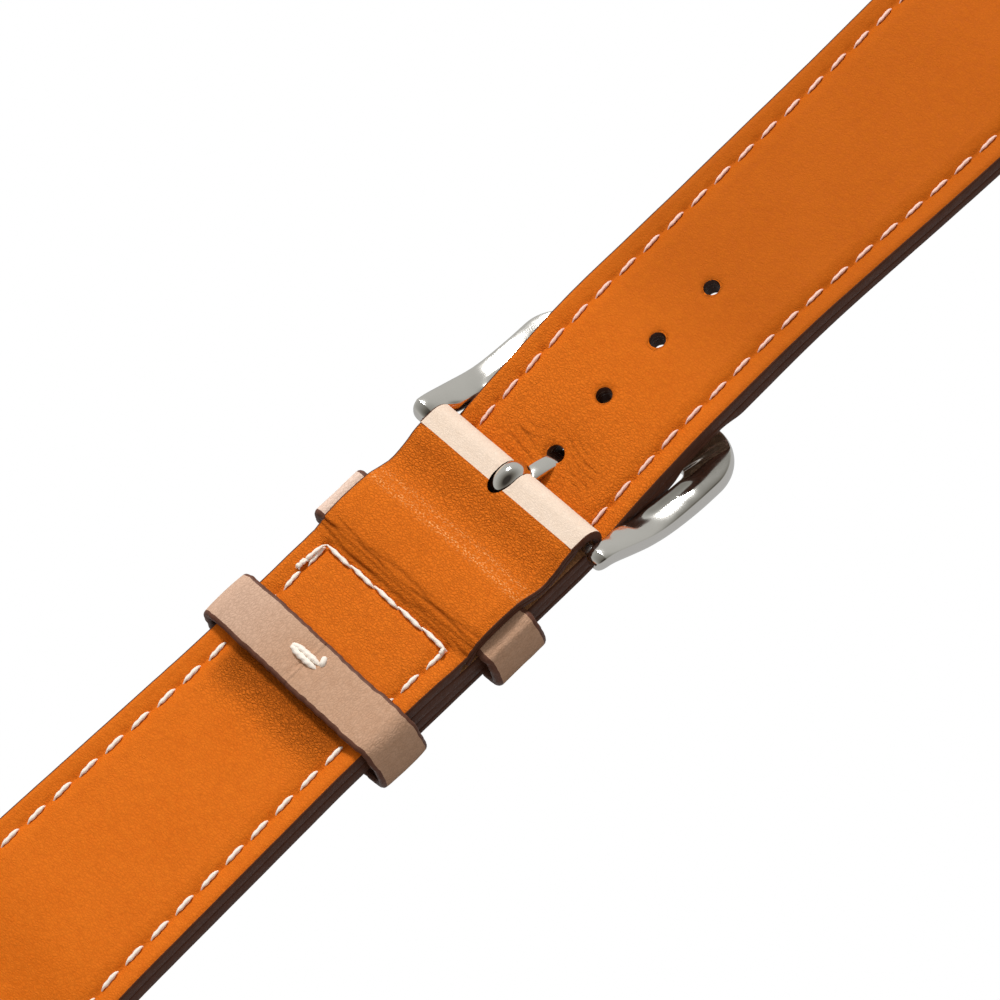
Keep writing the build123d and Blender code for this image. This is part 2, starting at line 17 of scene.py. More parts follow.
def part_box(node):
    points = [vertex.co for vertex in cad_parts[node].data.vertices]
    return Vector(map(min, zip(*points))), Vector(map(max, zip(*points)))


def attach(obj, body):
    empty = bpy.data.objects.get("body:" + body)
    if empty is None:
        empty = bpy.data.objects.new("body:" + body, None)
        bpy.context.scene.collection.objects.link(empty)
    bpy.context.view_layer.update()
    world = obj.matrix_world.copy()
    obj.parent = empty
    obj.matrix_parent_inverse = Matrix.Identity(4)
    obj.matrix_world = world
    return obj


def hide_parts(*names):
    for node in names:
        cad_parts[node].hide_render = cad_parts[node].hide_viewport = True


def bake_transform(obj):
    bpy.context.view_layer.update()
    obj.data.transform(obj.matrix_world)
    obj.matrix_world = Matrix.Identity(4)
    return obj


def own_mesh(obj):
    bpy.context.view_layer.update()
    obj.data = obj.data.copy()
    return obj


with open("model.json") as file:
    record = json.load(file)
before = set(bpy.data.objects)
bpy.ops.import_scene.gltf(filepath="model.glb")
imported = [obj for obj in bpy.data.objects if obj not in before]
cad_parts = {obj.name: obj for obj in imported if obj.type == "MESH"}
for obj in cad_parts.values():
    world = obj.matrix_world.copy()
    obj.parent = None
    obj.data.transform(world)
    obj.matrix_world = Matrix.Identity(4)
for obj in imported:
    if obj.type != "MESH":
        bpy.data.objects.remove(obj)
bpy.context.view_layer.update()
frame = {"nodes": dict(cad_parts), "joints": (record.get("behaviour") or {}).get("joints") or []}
nodes = frame["nodes"]
joint_place = {j["name"]: j.get("pos_m") for j in frame["joints"]}

MM = 0.001
ALONG_X = np.array([1.0, 0.0, 0.0])
ALONG_Y = np.array([0.0, 1.0, 0.0])
bar = np.array(joint_place["buckle_swing"])


def place(points):
    """Points of the buckle bar's frame, in millimetres, as metres in the row frame."""
    return np.asarray(points, float) * MM + bar


def low_high(name):
    """A node's lowest and highest corner in the buckle bar's frame, in millimetres."""
    low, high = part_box(name)
    return (np.array(low) - bar) / MM, (np.array(high) - bar) / MM


def joint_spot(name):
    """A joint's u and z, in millimetres."""
    return ((np.array(joint_place[name]) - bar) / MM)[[0, 2]]


# Sizes that the frame gives
ground = -bar[2] / MM
short_lug_u, short_lug_z = joint_spot("short_bar_turn")
long_lug_u, long_lug_z = joint_spot("long_bar_turn")
short_flex_u, short_top = joint_spot("short_bend")
long_flex_u, long_top = joint_spot("long_bend")
short_bottom = low_high("short_outer_leather")[0][2]
long_bottom = low_high("long_outer_leather")[0][2]
tip_u = low_high("long_lining")[0][0]
loop_low, loop_high = low_high("floating_loop")
keeper_low, keeper_high = low_high("fixed_keeper")
frame_front_u = low_high("buckle_frame")[1][0]
tang_tip_u = low_high("buckle_tang")[1][0]

# Leather, as it is layered
short_outer_thick = 0.95
long_outer_thick = 0.80
short_lining_thick = 0.65
long_lining_thick = 0.75
turned_thick = 0.55
short_filler_thick = 0.55
long_filler_thick = 0.50
tape_thick = 0.15
short_core = short_filler_thick + tape_thick
long_core = long_filler_thick + tape_thick
filler_inset = 3.2
tunnel_radius = 0.80
short_wrap = tunnel_radius + short_outer_thick
long_wrap = tunnel_radius + long_outer_thick
edge_radius = 0.17
glue_gap = 0.02

# Half widths, and the length over which the tip narrows
lug_half = 10.85
bar_half = 9.95
tip_taper = 9.0

# Places beside a bar, as distances from its middle
strip_start = 0.7
strip_edge = 1.4
step_edge = 1.43
fold_start = 2.1
fold_end = 3.8
flap_end = 5.4
short_droop_start, short_droop_end = 11, 18
long_droop_start, long_droop_end = 12, 24

# Seams
row_inset = 2.1
stitch_pitch = 3.05
stitch_run = 2.35
cross_seam_u = -15.2
cross_stitches = 5
seam_end_gap = 4.2
thread_radius = 0.142
seam_depth = 0.19
short_phase = -16.5
long_left_phase = 0.66
long_right_phase = 0.10

# Tang and its holes
hole_radius = 0.78
hole_pitch = 6.85
tang_hole_u = 4.75
holes_each_way = 3
knuckle_radius = 2.22
knuckle_half = 1.20
slot_gap = 0.36
prong_half_wide = 0.77
prong_half_thick = 0.40
bore_radius = 0.82
knuckle_side_radius = 0.95


# Curves and fields
def smooth(low, high, value):
    """Eased from 0 at low to 1 at high."""
    t = np.clip((value - low) / (high - low), 0.0, 1.0)
    return t * t * (3 - 2 * t)


def fade(low, high, value):
    """Eased from 1 at low to 0 at high."""
    return 1 - smooth(low, high, value)


def bump(value, centre, width):
    """1 at a centre, falling away on both sides."""
    return np.exp(-((value - centre) / width) ** 2)


def run_length(line):
    """How far along a line each of its points lies."""
    return np.concatenate([[0], np.cumsum(np.linalg.norm(np.diff(line, axis=0), axis=1))])


def unit(rows):
    """Rows brought to a length of one."""
    return rows / np.linalg.norm(rows, axis=1)[:, None]


def rounded_line(points, reach, step):
    """A dense line through points whose corners are eased over a reach."""
    points = [np.array(p, float) for p in points]
    dense = [points[0]]
    for before, corner, after in zip(points, points[1:], points[2:]):
        into, out = before - corner, after - corner
        ease = min(reach, np.linalg.norm(into) / 2, np.linalg.norm(out) / 2)
        start = corner + into / np.linalg.norm(into) * ease
        end = corner + out / np.linalg.norm(out) * ease
        for t in np.linspace(0, 1, 9):
            dense.append(start * (1 - t) ** 2 + corner * 2 * t * (1 - t) + end * t * t)
    dense.append(points[-1])
    return resample(np.array(dense), step)


def resample(line, step):
    """The same line with points about a step apart."""
    run = run_length(line)
    count = max(int(run[-1] / step), 2)
    at = np.linspace(0, run[-1], count + 1)
    return np.column_stack([np.interp(at, run, line[:, k]) for k in range(line.shape[1])])


def arc(centre, radius, start, end):
    """Points round a centre in side view, from one angle in degrees to another."""
    turn = np.radians(np.linspace(start, end, 41))
    return np.column_stack([centre[0] + radius * np.cos(turn), centre[1] + radius * np.sin(turn)])


def left_normals(line):
    """Unit normals to the left of a line in its plane."""
    along = unit(np.gradient(line, axis=0))
    return np.column_stack([-along[:, 1], along[:, 0]])


def in_space(line):
    """A line in side view, as points of the bar's frame."""
    return np.column_stack([line[:, 0], np.zeros(len(line)), line[:, 1]])


def hash_noise(x, y, seed):
    """Smooth value noise between -1 and 1 on a plane, the same at each run."""
    x0, y0 = np.floor(x), np.floor(y)
    fx, fy = x - x0, y - y0
    fx, fy = fx * fx * (3 - 2 * fx), fy * fy * (3 - 2 * fy)

    def corner(i, j):
        value = np.sin(i * 127.1 + j * 311.7 + seed * 74.7) * 43758.5453
        return (value - np.floor(value)) * 2 - 1

    low = corner(x0, y0) * (1 - fx) + corner(x0 + 1, y0) * fx
    high = corner(x0, y0 + 1) * (1 - fx) + corner(x0 + 1, y0 + 1) * fx
    return low * (1 - fy) + high * fy


# Meshes
def make_object(name, points, faces, materials, indices=None, smooth_shade=True):
    mesh = bpy.data.meshes.new(name)
    mesh.from_pydata([tuple(p) for p in place(points)], [], [tuple(f) for f in faces])
    for material in materials:
        mesh.materials.append(material)
    if indices is not None:
        mesh.polygons.foreach_set("material_index", np.asarray(indices, np.int32))
    mesh.polygons.foreach_set("use_smooth", [smooth_shade] * len(mesh.polygons))
    mesh.update()
    thing = bpy.data.objects.new(name, mesh)
    bpy.context.scene.collection.objects.link(thing)
    return thing


def add_attribute(thing, name, values, kind="FLOAT"):
    attribute = thing.data.attributes.new(name, kind, "POINT")
    field = "vector" if kind == "FLOAT_VECTOR" else "value"
    attribute.data.foreach_set(field, np.asarray(values, np.float32).ravel())


def leather_strip(name, centre, lift, side, half, thick, materials, top=None, low=None,
                  marks=None, columns=57, radius=edge_radius, closed=False):
    """A strip of leather along a line: a top face, a bottom face and rounded edges.

    centre, lift and side are the line's points, upward normals and sideways directions.
    top and low give each face's height offset from (run, sideways, half width)."""
    count = len(centre)
    run = run_length(centre)
    half = np.broadcast_to(np.asarray(half, float), (count,))
    thick = np.broadcast_to(np.asarray(thick, float), (count,))
    ease = np.minimum(np.minimum(radius, thick * 0.45), half * 0.4)
    across = (half - ease)[:, None] * np.linspace(-1, 1, columns)[None, :]

    def read(field, y):
        """A field's values at all points of the strip."""
        return field(*(np.broadcast_to(row, y.shape) for row in (run[:, None], y, half[:, None])))

    up = read(top, across) if top else np.zeros_like(across)
    down = read(low, across) if low else np.zeros_like(across)
    bend = [(ease * np.cos(a), -ease * (1 - np.sin(a))) for a in np.radians([72, 48, 24, 0])]
    rows = [(across[:, j], up[:, j], 0) for j in range(columns)]
    rows += [(across[:, -1] + dy, up[:, -1] + dz, 1) for dy, dz in bend]
    rows += [(across[:, -1] + dy, -thick - dz + down[:, -1], 1) for dy, dz in bend[::-1]]
    rows += [(across[:, j], -thick + down[:, j], 2) for j in reversed(range(columns))]
    rows += [(across[:, 0] - dy, -thick - dz + down[:, 0], 1) for dy, dz in bend]
    rows += [(across[:, 0] - dy, up[:, 0] + dz, 1) for dy, dz in bend[::-1]]
    y, z = (np.array([row[k] for row in rows]).T for k in (0, 1))
    kinds = [row[2] for row in rows]
    points = centre[:, None, :] + side[:, None, :] * y[..., None] + lift[:, None, :] * z[..., None]
    ring = len(rows)
    faces, indices = [], []
    for i in range(count if closed else count - 1):
        a, b = i * ring, ((i + 1) % count) * ring
        for j in range(ring):
            k = (j + 1) % ring
            faces.append((a + j, b + j, b + k, a + k))
            indices.append(1 if 1 in (kinds[j], kinds[k]) else kinds[j])
    if not closed:
        bottom = columns + len(bend) * 2
        caps = [[j, j + 1, bottom + columns - 2 - j, bottom + columns - 1 - j]
                for j in range(columns - 1)]
        caps.append(list(range(columns - 1, bottom + 1)))
        caps.append(list(range(bottom + columns - 1, ring)) + [0])
        for base, order in ((0, 1), ((count - 1) * ring, -1)):
            faces += [[base + k for k in cap][::order] for cap in caps]
        indices += [1] * (2 * len(caps))
    thing = make_object(name, points.reshape(-1, 3), faces, materials, indices)
    flat = np.stack([np.broadcast_to(run[:, None], y.shape), y, z], axis=-1)
    add_attribute(thing, "flat", flat, "FLOAT_VECTOR")
    is_top = np.array(kinds) == 0
    # per-point colour marks: worn specks, painted shade (dark), painted light (pale) and grain strength
    for label, plain in (("worn", 0.0), ("dark", 0.0), ("pale", 0.0), ("grain", 0.7)):
        values = np.full_like(y, plain)
        if marks and label in marks:
            values = np.where(is_top, read(marks[label], y), plain)
        add_attribute(thing, label, values)
    return thing


def along_side(name, line, normals, half, thick, materials, **shape):
    """A strip of leather along a line in side view, with its sides along Y."""
    sides = np.tile(ALONG_Y, (len(line), 1))
    return leather_strip(name, in_space(line), in_space(normals), sides, half, thick, materials, **shape)


def angles(sides):
    return np.linspace(0, 2 * np.pi, sides, endpoint=False)


def lathe_points(profile, sides):
    """A profile of (radius, y) turned round the Y axis."""
    return np.array([[(r * np.cos(a), y, r * np.sin(a)) for a in angles(sides)] for r, y in profile])


def ring_faces(rings, sides):
    """Faces between rings of points, and one at each end."""
    faces = []
    for i in range(rings - 1):
        for j in range(sides):
            k = (j + 1) % sides
            faces.append((i * sides + j, i * sides + k, (i + 1) * sides + k, (i + 1) * sides + j))
    faces.append(tuple(reversed(range(sides))))
    faces.append(tuple((rings - 1) * sides + j for j in range(sides)))
    return faces


def make_tube(name, rings, material, angle=40):
    """A closed skin through rings of points, sharp at edges beyond an angle."""
    rings = np.asarray(rings)
    thing = make_object(name, rings.reshape(-1, 3), ring_faces(*rings.shape[:2]), [material])
    tidy_normals(thing, angle)
    return thing


def cut(thing, other, operation="DIFFERENCE"):
    """Takes one mesh out of another for good, or joins it on with UNION."""
    modifier = thing.modifiers.new("cut", "BOOLEAN")
    modifier.operation = operation
    modifier.solver = "EXACT"
    modifier.object = other
    apply_modifiers(thing)
    bpy.data.objects.remove(other)


def apply_modifiers(thing):
    graph = bpy.context.evaluated_depsgraph_get()
    mesh = bpy.data.meshes.new_from_object(thing.evaluated_get(graph))
    thing.modifiers.clear()
    thing.data = mesh


def smooth_mesh(thing, levels):
    modifier = thing.modifiers.new("smooth", "SUBSURF")
    modifier.levels = modifier.render_levels = levels
    apply_modifiers(thing)


def tidy_normals(thing, angle=40):
    """Makes all faces look outwards and marks edges sharper than an angle."""
    work = bmesh.new()
    work.from_mesh(thing.data)
    bmesh.ops.recalc_face_normals(work, faces=work.faces)
    work.to_mesh(thing.data)
    work.free()
    thing.data.set_sharp_from_angle(angle=math.radians(angle))


# Materials
def new_material(name):
    material = bpy.data.materials.new(name)
    material.use_nodes = True
    return material, material.node_tree


def node(tree, kind, **values):
    made = tree.nodes.new(kind)
    for key, value in values.items():
        if key in made.inputs:
            made.inputs[key].default_value = value
        else:
            setattr(made, key, value)
    return made


def feed(tree, value, socket):
    """Sets a socket to a number or a colour, or links an output to it."""
    if isinstance(value, (int, float)):
        socket.default_value = value
    elif isinstance(value, tuple):
        socket.default_value = (*value, 1)
    else:
        tree.links.new(value, socket)


def attribute_output(tree, name, field="Fac"):
    return node(tree, "ShaderNodeAttribute", attribute_name=name).outputs[field]


def stretched(tree, kind, spot, stretch, **values):
    """A texture that reads its places stretched along their axes."""
    mapping = node(tree, "ShaderNodeMapping", Scale=stretch)
    tree.links.new(spot, mapping.inputs["Vector"])
    made = node(tree, kind, **values)
    tree.links.new(mapping.outputs["Vector"], made.inputs["Vector"])
    return made


def texture_noise(tree, spot, scale, detail, rough=0.6, stretch=(1, 1, 1)):
    values = {"Scale": scale, "Detail": detail, "Roughness": rough}
    return stretched(tree, "ShaderNodeTexNoise", spot, stretch, **values).outputs["Fac"]


def ramp(tree, value, stops):
    """Colours, or numbers as greys, that follow a value."""
    made = node(tree, "ShaderNodeValToRGB")
    elements = made.color_ramp.elements
    while len(elements) < len(stops):
        elements.new(0.5)
    for element, (at, colour) in zip(elements, stops):
        element.position = at
        element.color = (*colour, 1) if isinstance(colour, tuple) else (colour, colour, colour, 1)
    tree.links.new(value, made.inputs["Fac"])
    return made.outputs["Color"]


def mix_colour(tree, factor, first, second):
    made = node(tree, "ShaderNodeMix", data_type="RGBA", blend_type="MIX")
    for value, index in ((factor, 0), (first, 6), (second, 7)):
        feed(tree, value, made.inputs[index])
    return made.outputs[2]


def arithmetic(tree, operation, *values):
    made = node(tree, "ShaderNodeMath", operation=operation)
    for value, socket in zip(values, made.inputs):
        feed(tree, value, socket)
    return made.outputs[0]


def product(tree, first, *others):
    """One output times the others, in their order."""
    for other in others:
        first = arithmetic(tree, "MULTIPLY", first, other)
    return first


def toned(colour, times, plus=0.0):
    return tuple(min(c * times + plus, 0.96) for c in colour)


def dress(tree, values, *layers):
    """Feeds the shader's sockets, and chains bump layers of (height, distance in metres, strength)."""
    shader = tree.nodes["Principled BSDF"]
    for name, value in values.items():
        feed(tree, value, shader.inputs[name])
    normal = None
    for height, distance, strength in layers:
        made = node(tree, "ShaderNodeBump", Distance=distance, Strength=strength)
        tree.links.new(height, made.inputs["Height"])
        if normal is not None:
            tree.links.new(normal, made.inputs["Normal"])
        normal = made.outputs["Normal"]
    if normal is not None:
        tree.links.new(normal, shader.inputs["Normal"])
    return shader


def leather_material(name, colour, deep, pale, grain=3.5, rough=0.60, relief=1.0):
    """Grained leather: pebbled cells, fine pores, cloudy colour, worn specks, painted shade and painted
    light.
    """
    material, tree = new_material(name)
    flat = attribute_output(tree, "flat", "Vector")
    strength = attribute_output(tree, "grain")
    cloud = texture_noise(tree, flat, 0.16, 5.0)
    mottle = texture_noise(tree, flat, 1.3, 4.0, 0.65, (1.3, 0.8, 1.0))
    pores = texture_noise(tree, flat, 4.2, 3.0, 0.65, (1.4, 0.70, 1.0))
    flecks = texture_noise(tree, flat, 5.4, 2.0, 0.6, (1.3, 0.7, 1.0))
    warp = node(tree, "ShaderNodeVectorMath", operation="MULTIPLY_ADD")
    swirl = node(tree, "ShaderNodeTexNoise", Scale=1.6, Detail=2.0)
    tree.links.new(flat, swirl.inputs["Vector"])
    tree.links.new(swirl.outputs["Color"], warp.inputs[0])
    warp.inputs[1].default_value = (0.45, 0.45, 0.45)
    tree.links.new(flat, warp.inputs[2])
    cells = stretched(tree, "ShaderNodeTexVoronoi", warp.outputs["Vector"], (1.30, 0.62, 1.0),
                      Scale=grain, feature="DISTANCE_TO_EDGE").outputs["Distance"]
    blotch = ramp(tree, pores, [(0.30, 1), (0.52, 0)])
    lines = ramp(tree, cells, [(0.0, 1), (0.14, 0)])
    specks = ramp(tree, flecks, [(0.53, 0), (0.64, 1)])
    base = mix_colour(tree, ramp(tree, cloud, [(0.30, 0), (0.72, 1)]), deep, colour)
    for share, tone in (
            (ramp(tree, mottle, [(0.38, 0), (0.66, 0.5)]), pale),
            (product(tree, strength, 0.30 * relief), toned(pale, 1.16, 0.006)),
            # painted light: paler where a band's side faces the light
            (attribute_output(tree, "pale"), toned(pale, 0.9, 0.30)),
            (product(tree, blotch, 0.42 * relief, strength), toned(colour, 0.55)),
            (product(tree, lines, 0.66 * relief, strength), toned(colour, 0.42)),
            (product(tree, attribute_output(tree, "worn"), specks),
             (min(pale[0] * 1.3, 1.0), pale[1] + 0.27, pale[2] + 0.14)),
            # painted shade: darker where creases, the loop's shadow and other shaded places are painted
            # in
            (attribute_output(tree, "dark"), toned(colour, 0.34))):
        base = mix_colour(tree, share, base, tone)
    roughness = ramp(tree, mottle, [(0.3, rough - 0.06), (0.7, rough + 0.10)])
    pebbles = ramp(tree, cells, [(0.0, 0), (0.30, 1)])
    dress(tree, {"Base Color": base, "Roughness": roughness, "Specular IOR Level": 0.03},
          (product(tree, pebbles, strength), 0.000070, 0.8 * relief),
          (product(tree, pores, strength), 0.00009, 0.8 * relief),
          (mottle, 0.00009, 0.6 * relief))
    return material


def painted_edge(name, colour):
    """The thick dark paint that seals a cut edge."""
    material, tree = new_material(name)
    flat = attribute_output(tree, "flat", "Vector")
    blots = texture_noise(tree, flat, 1.1, 4.0)
    fine = texture_noise(tree, flat, 5.0, 3.0)
    dress(tree, {"Base Color": mix_colour(tree, blots, colour, toned(colour, 1.7)),
                 "Roughness": ramp(tree, fine, [(0.3, 0.34), (0.7, 0.55)]), "Specular IOR Level": 0.10},
          (blots, 0.00016, 0.6), (fine, 0.00005, 0.7))
    return material


def fibre_material(name, colour, shade, noise, rough, relief, sheen=0.0):
    """Thread, fibrous board or woven tape, between two colours."""
    material, tree = new_material(name)
    fibres = texture_noise(tree, attribute_output(tree, "flat", "Vector"), *noise)
    dress(tree, {"Base Color": mix_colour(tree, fibres, shade, colour), "Roughness": rough,
                 "Sheen Weight": sheen}, (fibres, *relief))
    return material


def thread_material(name, colour, shade):
    noise = (5.0, 3.0, 0.6, (0.5, 1.0, 1.0))
    return fibre_material(name, colour, shade, noise, 0.62, (0.00004, 0.7), sheen=0.25)


def board_material(name, colour, scale):
    noise = (scale, 4.0, 0.7, (0.4, 1.6, 1.0))
    return fibre_material(name, colour, toned(colour, 0.7), noise, 0.85, (0.00006, 0.6))


def metal_material(name, colour, rough, scratch=0.5, stretch=(1, 1, 1)):
    """Steel with faint smears and polishing lines."""
    material, tree = new_material(name)
    spot = node(tree, "ShaderNodeTexCoord").outputs["Object"]
    smear = texture_noise(tree, spot, 260.0, 3.0)
    lines = texture_noise(tree, spot, 2600.0, 2.0, 0.5, stretch)
    dress(tree, {"Base Color": mix_colour(tree, smear, toned(colour, 0.93), colour), "Metallic": 1.0,
                 "Roughness": ramp(tree, smear, [(0.3, rough * 0.7), (0.75, rough * 1.5)])},
          (lines, 0.000004, scratch))
    return material


def by_ray(tree, ray, usual, seen):
    """A shader that one kind of ray sees in place of the usual one."""
    mixer = node(tree, "ShaderNodeMixShader")
    share = node(tree, "ShaderNodeLightPath").outputs[ray]
    for output, socket in zip((share, usual.outputs[0], seen.outputs[0]), mixer.inputs):
        tree.links.new(output, socket)
    return mixer


lining_leather = leather_material("lining_leather", (0.685, 0.148, 0.0085), (0.630, 0.126, 0.0060),
                                  (0.735, 0.176, 0.0130))
taupe_leather = leather_material("outer_leather", (0.62, 0.40, 0.27), (0.52, 0.33, 0.22),
                                 (0.74, 0.52, 0.38), grain=3.0)
strip_leather = leather_material("strip_leather", (0.83, 0.655, 0.515), (0.79, 0.61, 0.475),
                                 (0.87, 0.71, 0.585), grain=4.6, relief=0.45)
keeper_leather = leather_material("keeper_leather", (0.53, 0.31, 0.194), (0.48, 0.272, 0.166),
                                  (0.60, 0.375, 0.25), grain=3.2, relief=0.55)
flesh_side = leather_material("flesh_side", (0.45, 0.20, 0.08), (0.36, 0.15, 0.06),
                              (0.55, 0.28, 0.13), grain=2.4, rough=0.8)
edge_paint = painted_edge("edge_paint", (0.066, 0.023, 0.012))
keeper_paint = painted_edge("keeper_paint", (0.098, 0.041, 0.026))
keeper_inside = painted_edge("keeper_inside", (0.060, 0.026, 0.016))
cream_thread = thread_material("cream_thread", (0.97, 0.91, 0.82), (0.86, 0.72, 0.60))
pink_thread = thread_material("pink_thread", (0.95, 0.68, 0.58), (0.83, 0.45, 0.35))
filler_board = board_material("filler_board", (0.55, 0.42, 0.28), 2.0)
woven_tape = board_material("woven_tape", (0.80, 0.80, 0.78), 6.0)
polished_steel = metal_material("polished_steel", (0.81, 0.785, 0.745), 0.10)
bar_steel = metal_material("bar_steel", (0.66, 0.66, 0.66), 0.24, 0.8, (1, 12, 1))
spring_steel = metal_material("spring_steel", (0.52, 0.52, 0.54), 0.30)


# Outlines in plan
def short_half(u):
    knots = [(-77, lug_half), (-67, lug_half), (-30, 9.80), (-20, 9.80), (-15, bar_half), (2, bar_half)]
    return soft_interp(u, knots, 1.5)


def long_half(u):
    taper_end = tip_u + tip_taper
    knots = [(taper_end, 9.65), (8, 9.65), (18, 9.76), (24, 9.70), (30, 9.74),
             (long_lug_u - 18, lug_half), (long_lug_u + 2, lug_half)]
    nose = np.clip((taper_end - np.asarray(u, float)) / tip_taper, 0, 0.9995)
    return soft_interp(u, knots, 1.5) * (1 - nose) ** 0.6


def soft_interp(u, knots, spread):
    """Linear interpolation, blurred a little over u."""
    u = np.asarray(u, float)
    x, y = zip(*knots)
    shifts = np.linspace(-spread, spread, 7)
    return sum(np.interp(u + s, x, y) for s in shifts) / len(shifts)


# Top lines of both linings in side view, as (u, z)
long_level = long_top - long_lining_thick - long_core - long_outer_thick
short_lift = 0.30
flap_line = [
    (-17.8, short_top + short_lift), (-15.9, short_top + 0.14), (-14.6, 0.85), (-13.4, 1.52),
    (-11.4, 1.74), (-9.4, 1.72), (-7.75, 1.56), (-6.55, 1.02), (-5.3, 0.62), (-3.5, 1.06),
    (-2.4, 1.58), (-strip_edge, short_wrap),
]
short_lug_top = short_lug_z + short_wrap
short_droop_z = short_top - (short_bottom + short_wrap - short_lug_z)
short_lining_line = [
    (short_lug_u + strip_edge, short_lug_top), (short_lug_u + fold_start, short_lug_top),
    (short_lug_u + fold_end, short_droop_z), (short_lug_u + short_droop_start, short_droop_z),
    (short_lug_u + short_droop_end, short_top + short_lift),
] + flap_line
long_lug_top = long_lug_z + long_wrap
long_droop_z = long_lug_z - long_wrap + long_top - long_level
under_bar = long_bottom + long_top - long_level
rise = [(0.6, under_bar), (6.2, long_top - 1.05), (15.0, long_top + 0.20), (21.0, long_top + 0.42),
        (29.0, long_top + 0.50), (38.0, long_top + 0.28), (47.0, long_top)]
long_lining_line = [(tip_u, under_bar)] + rise + [
    (long_lug_u - long_droop_end, long_top), (long_lug_u - long_droop_start, long_droop_z),
    (long_lug_u - fold_end, long_droop_z), (long_lug_u - fold_start, long_lug_top),
    (long_lug_u - strip_edge, long_lug_top),
]


def lining_path(points, reach, fine_from, fine_to):
    """The lining's top line, with closer points where it folds and wrinkles."""
    dense = rounded_line(points, reach, 0.05)
    u = dense[:, 0]
    spacing = np.where((u > fine_from) & (u < fine_to), 0.15, 0.42)
    spacing = np.where((u > -15.2) & (u < -12.0), 0.085, spacing)
    steps = np.concatenate([[0], np.cumsum(np.full(len(u) - 1, 0.05) / spacing[1:])])
    at = np.linspace(0, steps[-1], int(steps[-1]) + 1)
    return np.column_stack([np.interp(at, steps, dense[:, k]) for k in (0, 1)])


def long_extra(u):
    """How much thicker the long piece's outer leather is past the bar."""
    knots = [(1.5, 0.0), (2.8, 0.40), (5, 0.80), (7.5, 0.85), (9.5, 0.72), (10.6, 0.60), (11.6, 0.02),
             (16.8, 0.0), (18.6, 0.66), (22, 0.65), (28, 0.45), (34, 0.30), (long_lug_u - 14, 0.30),
             (long_lug_u - 9, 0.0)]
    return soft_interp(u, knots, 0.5)


def short_extra(u):
    """How much thicker the short piece's outer leather is behind the flap."""
    knots = [(short_lug_u + 9, 0.0), (short_lug_u + 16, 0.25), (-9, 0.25), (-4, 0.0)]
    return soft_interp(u, knots, 1.0)


short_path = lining_path(short_lining_line, 3.2, -20.0, 0.0)
long_path = lining_path(long_lining_line, 6.0, 2.0, 14.0)


def path_reader(path):
    """Gives functions for u at a run length along a path, and for its height and normal at a u."""
    run = run_length(path)
    normals = left_normals(path)

    def u_at(s):
        return np.interp(s, run, path[:, 0])

    def at(u):
        z, nx, nz = (np.interp(u, path[:, 0], row) for row in (path[:, 1], *normals.T))
        return z, np.array([nx, 0.0, nz])

    return u_at, at


short_u_at, short_at = path_reader(short_path)
long_u_at, long_at = path_reader(long_path)


# Seams
def row_places(start, end, phase):
    """Middles of the stitches that fit between two ends, a pitch apart from a phase."""
    first = math.ceil((start + stitch_run / 2 - phase) / stitch_pitch)
    last = math.floor((end - stitch_run / 2 - phase) / stitch_pitch)
    return [phase + k * stitch_pitch for k in range(first, last + 1)]


short_ends = (short_lug_u + seam_end_gap, cross_seam_u + 0.1)
long_ends = (tip_u + tip_taper, long_lug_u - seam_end_gap)
cross_reach = bar_half - row_inset - 0.05
cross_pitch = 2 * cross_reach / cross_stitches
cross_rows = [(k - (cross_stitches - 1) / 2) * cross_pitch for k in range(cross_stitches)]


def seam_dents(u, y, half, phases, ends):
    """The groove that a side seam pulls into the leather, deeper at each needle hole."""
    inset = half - np.abs(y)
    inside = smooth(ends[0] - 0.6, ends[0] + 0.8, u) * fade(ends[1] - 0.6, ends[1] + 0.6, u)
    groove = -0.13 * bump(inset, row_inset, 0.36) * inside
    start = np.where(y > 0, phases[0], phases[1])
    turn = (u - start + stitch_pitch / 2) / stitch_pitch * 2 * np.pi
    holes = (0.5 + 0.5 * np.cos(turn)) ** 6
    lips = (0.5 + 0.5 * np.cos(turn)) ** 3 * bump(inset, row_inset + 0.45, 0.30)
    return groove - (0.16 * holes * bump(inset, row_inset - 0.16, 0.26) - 0.07 * lips) * inside


def padded_profile(y, half):
    """Height across the strap: a padded middle, a valley at the seams and lifted edges."""
    inset = half - np.abs(y)
    middle = 0.10 - 0.05 * fade(3.4, 8.0, inset)
    valley = -0.27 * fade(2.0, 3.5, inset)
    lifted = 0.27 * fade(0.2, 2.1, inset)
    rolled = -0.16 * fade(0.0, 0.55, inset)
    return middle + valley + lifted + rolled


def short_top_shape(u, y, half):
    seam_on = fade(cross_seam_u - 0.4, cross_seam_u + 0.6, u)
    height = padded_profile(y, half) * seam_on
    height -= 0.20 * fade(0.0, 1.3, half - np.abs(y)) * (1 - seam_on)
    height += seam_dents(u, y, half, (short_phase, short_phase), short_ends)
    inside = smooth(row_inset - 0.5, row_inset + 0.3, half - np.abs(y))
    turn = (y - cross_rows[0] + cross_pitch / 2) / cross_pitch * 2 * np.pi
    holes = (0.5 + 0.5 * np.cos(turn)) ** 4
    height -= (0.22 + 0.10 * holes) * bump(u, cross_seam_u, 0.46) * inside
    height += valley_creases(u, y)
    height -= 0.18 * bump(u, loop_low[0] + 0.8, 2.6) * fade(5.5, 7.6, np.abs(y))
    return height + 0.016 * hash_noise(u * 1.1, y * 1.1, 3.0)


valley_folds = ((-14.35, 0.13, 0.16, 31.0), (-13.85, 0.15, 0.15, 33.0), (-13.45, 0.11, 0.14, 35.0),
                (-12.95, 0.08, 0.17, 37.0), (-14.7, 0.09, 0.14, 39.0), (-12.45, 0.04, 0.20, 41.0))


